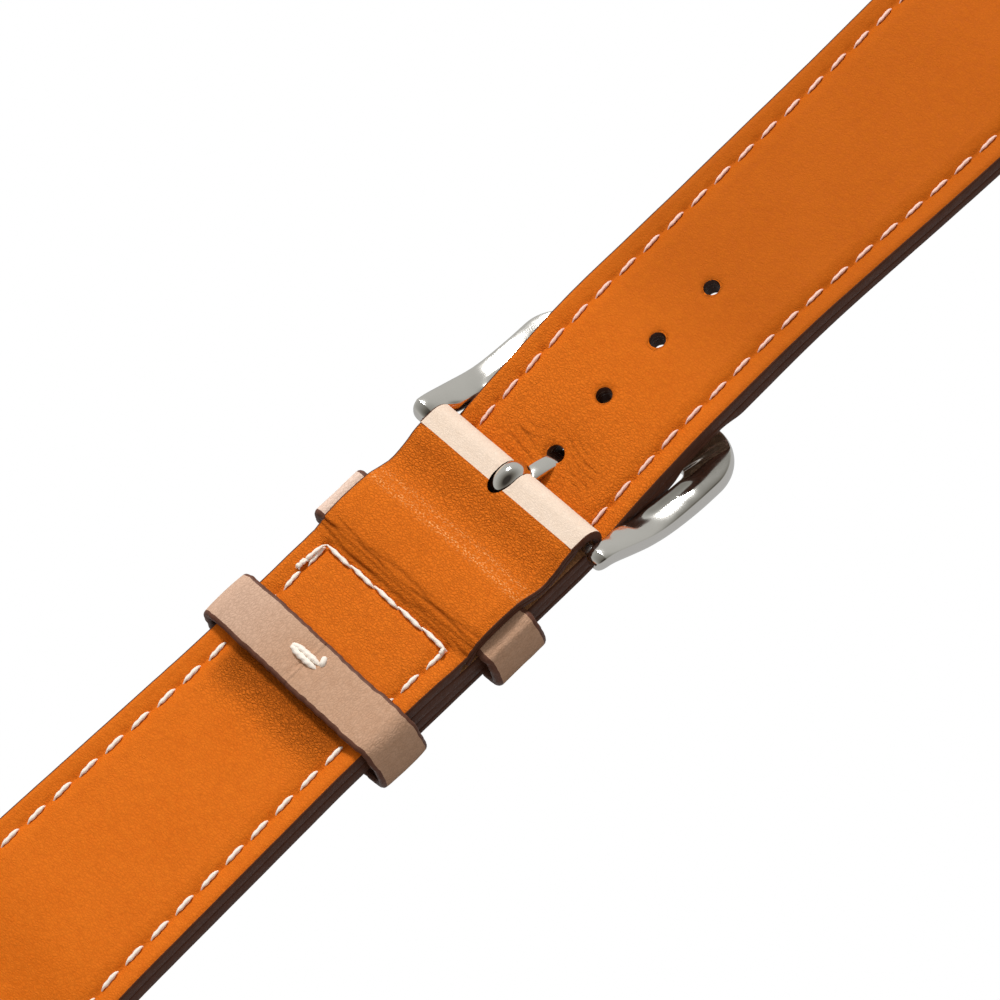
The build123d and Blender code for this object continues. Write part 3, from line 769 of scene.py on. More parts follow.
def valley_creases(u, y):
    """Folds across the strap where it dips behind the keeper, and faint ones before the bar."""
    ridges = 0.0
    for line_u, deep, wide, seed in valley_folds:
        wander = 0.26 * hash_noise(y * 0.20, seed, seed) + 0.07 * hash_noise(y * 1.1, 0, seed + 1)
        strength = 0.35 + 0.65 * smooth(-0.5, 0.5, hash_noise(y * 0.30 + seed * 3, 0, seed + 2))
        ridges = ridges - deep * strength * bump(u - line_u, wander, wide)
    for pitch, tilt, seed in ((0.62, 0.05, 1.0), (0.80, -0.05, 5.0)):
        wander = hash_noise(u * 0.5 + seed * 9, y * 0.45, seed)
        crease = 1 - np.abs(np.sin((u / pitch + tilt * y + wander) * np.pi))
        gate = smooth(-0.1, 0.6, hash_noise(u * 0.4, y * 0.40 + seed * 5, seed + 4.0))
        ridges = ridges - 0.035 * crease ** 5 * gate * bump(u, -5.2, 1.6)
    return ridges


def hole_places():
    return [tang_hole_u + k * hole_pitch for k in range(-holes_each_way, holes_each_way + 1)]


def long_top_shape(u, y, half):
    height = padded_profile(y, half)
    height += seam_dents(u, y, half, (long_left_phase, long_right_phase), long_ends)
    for centre in hole_places():
        far = np.hypot(u - centre, y)
        height -= 0.13 * bump(far, hole_radius, 0.32)
    return height + (tang_sag(u, y) + tang_folds(u, y)) + 0.014 * hash_noise(u * 0.9, y * 0.9, 8.0)


def tang_sag(u, y):
    """How far the hole that the tang pulls on is drawn down."""
    return -0.14 * bump(np.hypot(u - tang_hole_u, y), 0.0, 1.9)


def tang_folds(u, y):
    """Fine folds across the strap, bowed round the hole that the tang pulls on."""
    du, dy = u - tang_hole_u, y
    far = np.hypot(du, dy)
    bow = np.sign(du) * bump(dy, 0.0, 1.9)
    ridges = 0.0
    for pitch, tilt, seed in ((0.72, 0.06, 11.0), (0.95, -0.10, 12.0)):
        wander = hash_noise(du * 0.30 + seed, dy * 0.30, seed)
        crease = 1 - np.abs(np.sin(((du - bow) / pitch + tilt * dy + wander) * np.pi))
        gate = smooth(-0.3, 0.4, hash_noise(du * 0.40 + 5, dy * 0.28 + seed, seed + 3))
        ridges = ridges - 0.085 * crease ** 4 * gate
    right = bump(du, 0.4, 2.6) * smooth(0.5, 1.2, far) * fade(3.8, 6.6, -dy) * (dy < 0)
    left = bump(du, -0.9, 2.2) * smooth(0.5, 1.2, far) * fade(3.4, 5.6, dy) * (dy >= 0)
    return ridges * (right + left)


# Marks that the leather's colour follows; most of the dark marks are painted shade
def short_worn(u, y, half):
    wander = 0.14 * hash_noise(y * 0.4, 0, 2.0)
    near = bump(u, -7.75 + wander, 0.30)
    far = bump(u, -6.60 + wander, 0.24) * 0.70
    between = bump(u, -7.2, 0.9) * 0.22
    return np.clip(0.85 * near + 0.8 * far + between, 0, 1)


def short_painted_shade(u, y, half):
    # Painted shade: darker in the valley behind the keeper and in its creases, and a painted shadow
    # beside the floating loop's edge that stays when the loop slides; also darker along the edges.
    folds = np.clip(-valley_creases(u, y) * 5.0, 0, 0.62)
    edge = loop_low[0] - 0.3
    reach = 3.9 + 0.5 * hash_noise(y * 0.5, 0, 51.0)
    shade = np.clip(1 - (edge - u) / reach, 0, 1) * fade(edge + 0.4, edge + 3.4, u)
    shade = shade * fade(6.3, 7.9, np.abs(y + 0.3))
    return np.clip(bump(u, -13.9, 1.1) * 0.10 + folds + 0.68 * shade
                   + bump(half - np.abs(y), 0.0, 0.25) * 0.2, 0, 1)


def long_painted_shade(u, y, half):
    # Darker rings round the holes and along the edges, painted shade in the folds round the tang's hole,
    # and painted shade that deepens towards the lug end.
    rims = sum(bump(np.hypot(u - c, y), hole_radius, 0.16) for c in hole_places())
    folds = np.clip(-tang_folds(u, y) * 9, 0, 0.6)
    return np.clip(rims * 0.55 + folds + bump(half - np.abs(y), 0.0, 0.25) * 0.2
                   + 0.40 * smooth(10.0, 28.0, u), 0, 1)


def short_grain(u, y, half):
    flap = smooth(-23.0, -19.0, u)
    near_strip = smooth(-7.4, -6.2, u)
    shaded = bump(u, loop_low[0] - 1.4, 2.6) * fade(5.6, 7.8, np.abs(y + 0.3))
    return np.clip(0.36 + 0.34 * flap + 0.30 * near_strip + 1.2 * shaded, 0, 1.5)


def long_grain(u, y, half):
    return 0.26 + 0.50 * fade(5.0, 19.0, u)


short_core_start, short_core_end = short_lug_u + 7.0, -16.2
long_core_start, long_core_end = tip_u + 9.6, long_lug_u - 7.6


def short_over_core(u):
    """Where the short lining is thickened over its filler."""
    return smooth(short_core_start - 1.6, short_core_start - 0.6, u) * fade(-16.0, -15.2, u)


def long_over_core(u):
    """Where the long lining is thickened over its filler."""
    return fade(long_core_end + 0.6, long_core_end + 1.6, u)


def short_face(u):
    """Height of the short piece's grain face beside its seams."""
    droop = short_bottom - (short_top - short_droop_z)
    knots = [(short_lug_u + short_droop_start, droop), (short_lug_u + short_droop_end, short_bottom)]
    return float(soft_interp(u, knots, 2.0) - short_extra(u)) + seam_depth


def long_face(u):
    """Height of the long piece's grain face beside its seams."""
    return float(long_at(u)[0] - (long_top - long_level) - long_extra(u)) + seam_depth


def edge_cutter(name, points, faces):
    """A cutter whose cuts get the painted edge's material."""
    thing = make_object(name, points, faces, [edge_paint] * 3, [1] * len(faces))
    tidy_normals(thing)
    return thing


def knuckle_profile(rings):
    """The knuckle's outline, as (radius, y)."""
    places = np.linspace(-knuckle_half, knuckle_half, rings)
    knuckle_swell = knuckle_radius - knuckle_side_radius
    return [(knuckle_side_radius + knuckle_swell * (1 - min(abs(share), 1.0) ** 2.2) ** 0.5, y)
            for share, y in zip(places / knuckle_half, places)]


def slot_cutter():
    """The space that the knuckle turns in, a little longer towards the short piece's lug end."""
    rings, sides = 15, 40
    profile = [(radius + 0.09, y * (1 + 0.05 / knuckle_half)) for radius, y in knuckle_profile(rings)]
    points = lathe_points(profile, sides).reshape(-1, 3)
    points[:, 0] = np.where(points[:, 0] < 0, points[:, 0] * 1.10 - slot_gap, points[:, 0])
    return edge_cutter("slot_cutter", points, ring_faces(rings, sides))


def hole_cutter():
    """Round punches through the long piece, and a slanting one for the tang."""
    sides = 28
    points, faces = [], []
    for centre in hole_places():
        tang = abs(centre - tang_hole_u) < 0.01
        base = len(points)
        radius = hole_radius * (1.18 if tang else 1.0)
        for level in (4.0, -7.0):
            shift = (-level - 1.2) * 0.62 + 0.22 if tang else 0.0
            for a in angles(sides):
                points.append((centre + shift + radius * math.cos(a),
                               radius * math.sin(a) - (0.34 if tang else 0.0), level))
        faces += [tuple(base + k for k in f) for f in ring_faces(2, sides)]
    return edge_cutter("hole_cutter", points, faces)


# The two halves of the strap
short = SimpleNamespace(
    name="short", end_body="short_end", sign=-1, flex_u=short_flex_u, half=short_half,
    path=short_path, u_at=short_u_at, at=short_at, top_shape=short_top_shape, face=short_face,
    lining_thick=short_lining_thick, filler_thick=short_filler_thick, core=short_core,
    core_span=(short_core_start, short_core_end), over_core=short_over_core, extra=short_extra,
    lug_u=short_lug_u, lug_top=short_lug_top, droop_z=short_droop_z, cutter=slot_cutter,
    marks={"worn": short_worn, "dark": short_painted_shade, "grain": short_grain},
    phases=(short_phase, short_phase), ends=short_ends)
long = SimpleNamespace(
    name="long", end_body="long_end", sign=1, flex_u=long_flex_u, half=long_half,
    path=long_path, u_at=long_u_at, at=long_at, top_shape=long_top_shape, face=long_face,
    lining_thick=long_lining_thick, filler_thick=long_filler_thick, core=long_core,
    core_span=(long_core_start, long_core_end), over_core=long_over_core, extra=long_extra,
    lug_u=long_lug_u, lug_top=long_lug_top, droop_z=long_droop_z, cutter=hole_cutter,
    marks={"dark": long_painted_shade, "grain": long_grain},
    phases=(long_left_phase, long_right_phase), ends=long_ends)


def bent_piece(thing, piece, part):
    """Hides a half's node and its lug end's node, and bakes the piece's placement into its mesh."""
    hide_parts(f"{piece.name}_{part}", f"{piece.name}_{part}_lug_end")
    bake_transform(thing)


def single_piece(thing, node_name, body):
    """Rides on one body, in place of one node."""
    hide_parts(node_name)
    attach(thing, body)


# Leather pieces
def make_lining(piece):
    """The lining, hollowed for the filler and cut for the knuckle or the holes."""
    full = piece.lining_thick + piece.core
    thick = piece.lining_thick + (full - piece.lining_thick) * piece.over_core(piece.path[:, 0])
    start_u, end_u = piece.core_span

    def recess(u, y, half):
        inside = smooth(filler_inset - 0.30, filler_inset - 0.05, half - np.abs(y))
        along = smooth(start_u - 0.4, start_u, u) * fade(end_u, end_u + 0.4, u)
        return piece.core * inside * along

    def by_run(field):
        return lambda s, y, half: field(piece.u_at(s), y, half)

    thing = along_side(
        f"lining_{piece.name}", piece.path, left_normals(piece.path), piece.half(piece.path[:, 0]),
        thick, [lining_leather, edge_paint, edge_paint], top=by_run(piece.top_shape),
        low=by_run(recess), marks={k: by_run(v) for k, v in piece.marks.items()}, columns=97)
    cut(thing, piece.cutter())
    tidy_normals(thing)
    bent_piece(thing, piece, "lining")


def turned_end(piece):
    """The outer leather beside a lug bar: its pale strip, and its end under the lining."""
    strip = [(strip_start, piece.lug_top), (strip_edge, piece.lug_top)]
    under = [(inset, z - piece.lining_thick - glue_gap) for inset, z in (
        (step_edge, piece.lug_top), (fold_start, piece.lug_top), (fold_end, piece.droop_z),
        (flap_end, piece.droop_z))]
    return [np.array([(piece.lug_u - piece.sign * inset, z) for inset, z in spots])
            for spots in (strip, under)]


def paint_strip(thing):
    """Gives the pale strip's material to the grain face beside and above the buckle bar."""
    beside, lowest = 3.0, -1.2
    for polygon in thing.data.polygons:
        u, _, z = (np.array(polygon.center) - bar) / MM
        if polygon.material_index == 0 and abs(u) < beside and z > lowest:
            polygon.material_index = 3


def make_outer(piece, stretches):
    """Outer leather from stretches of (points, thickness), with its grain face looking out."""
    line = np.vstack([points for points, _ in stretches])
    thick = np.concatenate([np.full(len(points), t) for points, t in stretches])
    normals = left_normals(line)
    run = run_length(line)

    def top(s, y, half):
        u = np.interp(s, run, line[:, 0])
        below = smooth(0.5, 0.9, -np.interp(s, run, normals[:, 1]))
        shaped = padded_profile(y, half) + seam_dents(u, y, half, piece.phases, piece.ends)
        shaped = shaped - piece.extra(u) * smooth(2.6, 4.6, half - np.abs(y))
        return shaped * below + 0.012 * hash_noise(s, y, 12.0)

    thing = along_side(f"outer_{piece.name}", line, normals, piece.half(line[:, 0]), thick,
                       [taupe_leather, edge_paint, flesh_side, strip_leather], top=top)
    if piece is short:
        paint_strip(thing)
    cut(thing, piece.cutter())
    tidy_normals(thing)
    bent_piece(thing, piece, "outer_leather")


def make_short_outer():
    """The flap, the buckle bar's turn, the face and the lug bar's turn."""
    lining = short_lining_thick
    step = (-strip_edge - 0.03, short_wrap - lining - glue_gap)
    flap_top = [(u, z - lining - glue_gap) for u, z in flap_line if -14.0 < u < -2.0]
    hidden = rounded_line([(-14.9, short_top - lining - 0.06)] + flap_top + [step], 1.0, 0.3)
    strip = np.array([(-strip_edge, short_wrap), (-strip_start, short_wrap)])
    droop = short_bottom - (short_top - short_droop_z)
    droop_start, droop_end = short_lug_u + short_droop_start, short_lug_u + short_droop_end
    face = rounded_line([(-0.2, short_bottom), (droop_end, short_bottom), (droop_start, droop),
                         (short_lug_u + 0.2, droop)], 6.0, 0.5)
    extra = short_extra(face[:, 0])
    face[:, 1] -= extra
    lifted = short_lift * smooth(-15.0, -18.0, face[:, 0]) * smooth(droop_start, droop_end, face[:, 0])
    lug_strip, lug_flap = turned_end(short)
    make_outer(short, [
        (hidden, turned_thick), (strip, short_outer_thick),
        (arc((0.0, 0.0), short_wrap, 90, -90), short_outer_thick),
        (face, short_outer_thick + extra + lifted),
        (arc((short_lug_u, short_lug_z), short_wrap, -90, -270), short_outer_thick),
        (lug_strip, short_outer_thick), (lug_flap, turned_thick)])


def make_long_outer():
    """The lug bar's turn and the face, with no turn at the tip."""
    down = long_top - long_level
    face = rounded_line([(long_lug_u - 0.2, long_droop_z - down),
                         (long_lug_u - long_droop_start, long_droop_z - down),
                         (long_lug_u - long_droop_end, long_level)]
                        + [(u, z - down) for u, z in reversed(rise)]
                        + [(tip_u, long_bottom)], 6.0, 0.5)
    extra = long_extra(face[:, 0])
    face[:, 1] -= extra
    strip, lug_flap = turned_end(long)
    make_outer(long, [
        (lug_flap[::-1], turned_thick), (strip[::-1], long_outer_thick),
        (arc((long_lug_u, long_lug_z), long_wrap, 90, -90), long_outer_thick),
        (face, long_outer_thick + extra)])


def make_core(piece, part, depth, thick, material):
    """A filler or a tape between the leathers."""
    start_u, end_u = piece.core_span
    keep = (piece.path[:, 0] > start_u + 0.3) & (piece.path[:, 0] < end_u - 0.3)
    line = resample(piece.path[keep], 0.6)
    normals = left_normals(line)
    line = line - normals * depth
    half = piece.half(line[:, 0]) - filler_inset - 0.05
    thing = along_side(f"{part}_{piece.name}", line, normals, half, thick,
                       [material, edge_paint, material], columns=15, radius=0.05)
    if piece is long:
        cut(thing, hole_cutter())
    tidy_normals(thing)
    bent_piece(thing, piece, part)


# Threads
def thread_mesh(name, runs, material, radius, lobes=2, turns=1.4):
    """Twisted threads, one for each run of (points, upward direction), thickest past the middle."""
    sides, points, faces, flats = 10, [], [], []
    for index, (line, up) in enumerate(runs):
        along = unit(np.gradient(line, axis=0))
        out = unit(np.cross(along, up))
        over = np.cross(out, along)
        base, rings = len(points), len(line)
        for i in range(rings):
            t = i / (rings - 1)
            taper = 0.30 + 0.70 * min(1.0, math.sin(math.pi * t ** 1.25) * 1.45)
            for j in range(sides):
                a = 2 * math.pi * j / sides
                twist = a * lobes - t * turns * 2 * math.pi * lobes
                r = radius * taper * (1 + 0.15 * math.cos(twist))
                points.append(line[i] + out[i] * r * math.cos(a) * 1.12 + over[i] * r * math.sin(a))
                flats.append((index * 7.3 + t * 4, j * 0.4, index))
        faces += [tuple(base + k for k in f) for f in ring_faces(rings, sides)]
    thing = make_object(name, np.array(points), faces, [material])
    add_attribute(thing, "flat", flats, "FLOAT_VECTOR")
    tidy_normals(thing, 70)
    return thing


def stitch_line(start, end, up, rise_by, dip, rings=13):
    """A stitch that comes up out of the leather, lies on it and dives in again."""
    start, end, up = (np.array(v, float) for v in (start, end, up))
    t = np.linspace(0, 1, rings)
    arch = rise_by * np.minimum(1.0, np.sin(np.pi * t) * 2.2) - dip * fade(0, 0.14, t)
    arch = arch - dip * smooth(0.86, 1, t)
    line = start[None, :] * (1 - t)[:, None] + end[None, :] * t[:, None] + up[None, :] * arch[:, None]
    return line, np.tile(up, (rings, 1))


def side_seam(piece, seed, on_face=False):
    """Stitches of both side seams, on the lining or on the grain face."""
    runs = []
    for side, phase in zip((1, -1), piece.phases):
        for k, centre in enumerate(row_places(*piece.ends, phase)):
            tips = []
            for sign in (-1, 1):
                u = centre + sign * stitch_run / 2
                slant = (0.12 if side > 0 else 0.06) * sign
                slant += 0.03 * hash_noise(k * 1.7, side + seed, seed)
                y = side * (piece.half(u) - row_inset) + slant
                z, lift = piece.at(u)
                if on_face:
                    tips.append(np.array([u, y, piece.face(u)]))
                else:
                    tips.append(np.array([u, y, z]) + lift * piece.top_shape(u, y, piece.half(u)))
            up = piece.at(centre)[1] * (-1 if on_face else 1)
            runs.append(stitch_line(*tips, up, 0.10 if on_face else 0.20, 0.12))
    return runs


def make_seams(piece, seed, material, radius):
    runs = side_seam(piece, seed) + side_seam(piece, seed + 1, on_face=True)
    if piece is short:
        runs += cross_seam()
    thing = thread_mesh(f"seams_{piece.name}", runs, material, radius)
    bent_piece(thing, piece, "stitching")


def cross_seam():
    """The seam behind the keeper, and where it turns into the side seams, which start doubled."""
    z, up = short.at(cross_seam_u)
    runs = []
    for y in cross_rows:
        low = [(cross_seam_u, y + sign * (cross_pitch - 0.8) / 2, short_bottom - 0.23)
               for sign in (-1, 1)]
        start = (cross_seam_u + 0.10, y + (cross_pitch + 0.10) / 2, z - 0.12)
        end = (cross_seam_u - 0.04, y - (cross_pitch + 0.35) / 2, z - 0.22)
        runs.append(stitch_line(start, end, up, 0.26, 0.05, 19))
        runs.append(stitch_line(*low, (0, 0, -1), 0.10, 0.12))
    left, right = cross_reach + 0.12, -cross_reach
    spots = (
        ((cross_seam_u + 0.05, left, -0.13), (cross_seam_u - 2.35, left + 0.22, -0.17)),
        ((cross_seam_u + 0.02, right + 0.10, -0.12), (cross_seam_u - 0.62, right - 0.10, -0.16)),
        ((cross_seam_u - 2.0, left + 0.05, -0.17), (cross_seam_u - 3.3, left + 0.38, -0.18)),
        ((cross_seam_u - 2.1, left + 0.42, -0.15), (cross_seam_u - 3.2, left + 0.10, -0.18)),
    )
    for (u0, y0, z0), (u1, y1, z1) in spots:
        runs.append(stitch_line((u0, y0, z + z0), (u1, y1, z + z1), up, 0.28, 0.05))
    return runs


# Keepers
def band_line(half, low, high, top_reach, low_reach):
    """A rounded band round the strap, run from its top's middle towards +Y and round."""
    middle = (low + high) / 2
    turn = np.linspace(0, math.pi / 2, 25)
    upper = np.column_stack([half - top_reach + top_reach * np.sin(turn) ** 0.92,
                             middle + (high - middle) * np.cos(turn) ** 0.80])
    lower = np.column_stack([half - low_reach + low_reach * np.cos(turn) ** 0.80,
                             middle - (middle - low) * np.sin(turn) ** 0.92])
    side = np.vstack([[(0.0, high)], upper, lower[1:], [(0.0, low)]])
    side = resample(side, 0.2)
    mirror = side[::-1][1:-1] * np.array([-1, 1])
    return np.vstack([side, mirror])


def make_band(name, node_name, body, corners, wider, aside, thick, reaches, rim, shape, sway, painted_light):
    """A closed leather band round the strap: its grain face looks out."""
    low_corner, high_corner = corners
    half, low, high = high_corner[1] + wider, low_corner[2] + 0.03, high_corner[2]
    centre_u = (low_corner[0] + high_corner[0]) / 2
    width = high_corner[0] - low_corner[0]
    line = band_line(half, low, high, *reaches)
    ring = np.vstack([line[-1:], line, line[:1]])
    lift = left_normals(ring)[1:-1]
    run = run_length(line)
    points = np.column_stack([centre_u + sway(*line.T), line[:, 0] + aside, line[:, 1]])
    ragged = 1 + 0.020 * hash_noise(run * 1.2, 0, 4.0) + 0.014 * hash_noise(run * 2.6, 0, 6.0)

    def top(s, y, half_width):
        across, level = (np.interp(s, run, row) for row in line.T)
        return shape(across, level, y, half_width, s)

    # Painted light: the band is made paler on the side that faces the light.
    def pale(s, y, half_width):
        return painted_light(np.interp(s, run, line[:, 0]))

    thing = leather_strip(name, points, in_band(lift), np.tile(-ALONG_X, (len(line), 1)),
                          width / 2 * ragged, thick, [keeper_leather, keeper_paint, keeper_inside],
                          top=top, marks={"pale": pale}, columns=41, radius=rim, closed=True)
    tidy_normals(thing)
    single_piece(thing, node_name, body)


def in_band(line):
    return np.column_stack([np.zeros(len(line)), line[:, 0], line[:, 1]])


def make_fixed_keeper():
    def pleats(across, level, y, half, s):
        folds = 1 - np.abs(np.sin(s * 3.6 + 1.3 * hash_noise(s * 1.2, y * 0.15, 2.0)))
        upper = smooth(keeper_high[2] - 2.6, keeper_high[2] - 0.6, level)
        return -0.12 * folds ** 3 * upper + 0.025 * hash_noise(y * 0.9, s * 0.9, 5.0)

    def no_sway(across, level):
        return np.zeros_like(across)

    # Painted light: the keeper's +Y side, which faces the light, is made paler.
    def painted_light_left_side(across):
        return 0.9 * smooth(8.5, 11.0, across)

    make_band("keeper_fixed", "fixed_keeper", "root", (keeper_low, keeper_high), 0.50, 0.10, 1.1,
              (1.2, 2.4), 0.48, pleats, no_sway, painted_light_left_side)


knot_y = 0.55
knot_shift = 0.42


def make_floating_loop():
    def face(across, level, y, half, s):
        on_top = smooth(loop_high[2] - 0.6, loop_high[2] - 0.1, level)
        from_seam = across - (knot_y - 0.1)
        far = np.hypot(from_seam, (y + knot_shift) * 0.9)
        seam = -0.10 * bump(from_seam, 0.0, 0.11) - 0.05 * bump(from_seam, 0.25, 0.9)
        pull = -0.20 * bump(far, 0.2, 1.15)
        turn = np.arctan2(from_seam, y)
        puckers = -0.045 * (1 - np.abs(np.sin(turn * 3.0 + 0.6))) ** 3 * bump(far, 1.5, 1.5)
        crown = -0.14 * (np.abs(y) / half) ** 3
        ragged = -0.05 * smooth(0.75, 1.0, np.abs(y) / half) * hash_noise(s * 2.2, y * 0.2, 21.0)
        rough = 0.022 * hash_noise(y * 0.8, s * 0.8, 15.0)
        return (seam + pull + puckers) * on_top + crown + ragged + rough

    def sway(across, level):
        top_side = smooth(loop_low[2] + 2, loop_high[2] - 1, level)
        return top_side * 0.10 * np.sin(across / loop_high[1] * 2.6)

    # Painted light: the loop is made paler towards its +Y side, which faces the light.
    def painted_light_left_part(across):
        return 0.26 * smooth(0.0, 10.0, across)

    make_band("loop_floating", "floating_loop", "loop", (loop_low, loop_high), 0.30, 0.14, 0.96,
              (2.3, 3.4), 0.36, face, sway, painted_light_left_part)


def make_loop_knot():
    """Thread through both ends of the floating loop, drawn together across its joint."""
    u0 = (loop_low[0] + loop_high[0]) / 2 + knot_shift
    z0 = loop_high[2] - 0.30
    up = np.array([0.0, 0.0, 1.0])
    runs = []
    length, lift = 4.3, 0.38
    for side in (-1, 1):
        t = np.linspace(-1, 1, 31)
        apart = 1 - 0.55 * t ** 2 + 0.25 * bump(t, 0.35, 0.22)
        line = np.column_stack([
            u0 + side * 0.20 * apart + side * 0.05 * (1 - t ** 2) - side * 0.10 * t,
            knot_y + t * length / 2,
            z0 + lift * np.minimum(1.0, (1 - np.abs(t)) * 2.6) - 0.12])
        runs.append((line, np.tile(up, (len(t), 1))))
    t = np.linspace(0, 1, 13)
    tail = np.column_stack([u0 + 0.10 + 1.05 * t, knot_y - 1.85 + 0.55 * t ** 2,
                            z0 + 0.06 + 0.24 * np.sin(np.pi * t)])
    runs.append((tail, np.tile(up, (len(t), 1))))
    thing = thread_mesh("loop_knot", runs, cream_thread, 0.26, 3, 2.0)
    single_piece(thing, "floating_loop_stitch", "loop")


# Buckle
frame_inner = 10.20
frame_arm_inner = 9.78
frame_ear = 12.38
frame_arm = 12.60
frame_front_inner = 11.7
frame_corner_inner = 1.1
frame_corner_outer = 4.0
ear_hole_radius = 0.42
ear_hole_start, ear_hole_end = 9.0, 11.46
tang_notch = ((11.2, -0.98, -8.0), (18.0, 0.98, -4.38))


def frame_side(u):
    """Height of the frame's middle at a place along it."""
    knots = [(-1.2, 0.02), (0.0, 0.0), (1.0, -0.40), (3.0, -1.58), (4.7, -2.55), (6.1, -3.16),
             (7.5, -3.56), (9.2, -3.86), (10.9, -4.06), (12.5, -4.12), (17.0, -4.20)]
    return soft_interp(u, knots, 0.5)


def frame_stations():
    """Pairs of inner and outer points in plan, from the left ear round to the right one."""
    front_outer = frame_front_u + 0.30
    turn_in = frame_front_inner - frame_corner_inner
    turn_out = front_outer - frame_corner_outer
    inner, outer = [], []
    for t in np.linspace(0, 1, 46):
        spread = frame_ear + (frame_arm - frame_ear) * smooth(0.0, 5.0, t * turn_out)
        narrow = (frame_inner - frame_arm_inner) * smooth(1.5, 2.8, t * turn_in)
        inner.append((t * turn_in, frame_inner - narrow))
        outer.append((t * turn_out, spread))
    for a in np.linspace(0, math.pi / 2, 24)[1:]:
        inner.append((turn_in + frame_corner_inner * math.sin(a),
                      frame_arm_inner - frame_corner_inner + frame_corner_inner * math.cos(a)))
        outer.append((turn_out + frame_corner_outer * math.sin(a),
                      frame_arm - frame_corner_outer + frame_corner_outer * math.cos(a)))
    for share in np.linspace(1, 0, 12)[1:]:
        inner.append((frame_front_inner, share * (frame_arm_inner - frame_corner_inner)))
        outer.append((front_outer, share * (frame_arm - frame_corner_outer)))
    mirror = [[(u, -y) for u, y in reversed(side[:-1])] for side in (inner, outer)]
    return np.array(inner + mirror[0]), np.array(outer + mirror[1])


def frame_section(width, height, lip):
    """The arm's section: a crisp ridge outside, a level face, a lip inside, a round belly."""
    w, h = width / 2, height / 2
    return np.array([
        (w - 0.10, h), (w * 0.60, h + 0.05), (w * 0.15, h + 0.07), (-w * 0.30, h + 0.02),
        (-w + 0.42, h - 0.07 + 0.7 * lip), (-w + 0.07, h - 0.17 + lip), (-w, h - 0.45 + lip),
        (-w, -h + 0.60),
        (-w + 0.14, -h + 0.20), (-w + 0.48, -h), (0.0, -h - 0.02), (w - 0.50, -h + 0.02),
        (w - 0.14, -h + 0.24), (w + 0.03, -h + 0.60), (w + 0.07, -0.05), (w + 0.04, h - 0.40),
        (w - 0.03, h - 0.08),
    ])


def frame_ring(inner, outer, shrink, reach):
    """One section of the frame between an inner and an outer point."""
    middle = (inner + outer) / 2
    across = outer - inner
    width = np.linalg.norm(across)
    across = across / width
    u = middle[0]
    under_strap = smooth(11.0, 13.0, u) * fade(9.2, 10.2, abs(middle[1]))
    height = 1.72 + 0.36 * smooth(4.0, 10.0, u) - 0.36 * under_strap
    lip = 0.36 * smooth(4.5, 7.5, u) * fade(10.4, 11.9, inner[0])
    section = frame_section(width, height, lip) * shrink
    slope = math.atan2(frame_side(u + 0.3) - frame_side(u - 0.3), 0.6)
    on_arm = fade(9.0, 15.0, u)
    lean = math.sin(slope) * on_arm
    stand = 1 + (math.cos(slope) - 1) * on_arm
    ring = []
    for n, b in section:
        own_u = u + across[0] * n
        ring.append((own_u - lean * b - reach, middle[1] + across[1] * n,
                     frame_side(own_u) - 0.18 * under_strap + stand * b))
    return ring


def make_frame():
    inner, outer = frame_stations()
    dome = [(0.30, 0.93), (0.55, 0.86), (0.80, 0.72), (0.93, 0.50), (0.985, 0.24)]
    rings = [frame_ring(i, o, 1.0, 0.0) for i, o in zip(inner, outer)]
    front = [frame_ring(inner[0], outer[0], shrink, share * 0.92) for share, shrink in dome[::-1]]
    back = [frame_ring(inner[-1], outer[-1], shrink, share * 0.92) for share, shrink in dome]
    rim = [frame_ring(inner[k], outer[k], 0.985, 0.03) for k in (0, -1)]
    thing = make_tube("frame_steel", front + rim[:1] + rings + rim[1:] + back, polished_steel, 180)
    smooth_mesh(thing, 2)
    for side in (1, -1):
        hole = lathe_points([(ear_hole_radius, side * y) for y in (ear_hole_start, ear_hole_end)], 24)
        cut(thing, make_tube("ear_hole", hole, polished_steel))
    cut(thing, box_object("tang_notch", *tang_notch))
    tidy_normals(thing, 55)
    single_piece(thing, "buckle_frame", "buckle")


def box_object(name, low, high):
    corners = [(x, y, z) for x in (low[0], high[0]) for y in (low[1], high[1])
               for z in (low[2], high[2])]
    faces = [(0, 1, 3, 2), (4, 6, 7, 5), (0, 4, 5, 1), (2, 3, 7, 6), (0, 2, 6, 4), (1, 5, 7, 3)]
    thing = make_object(name, np.array(corners), faces, [polished_steel], smooth_shade=False)
    tidy_normals(thing)
    return thing


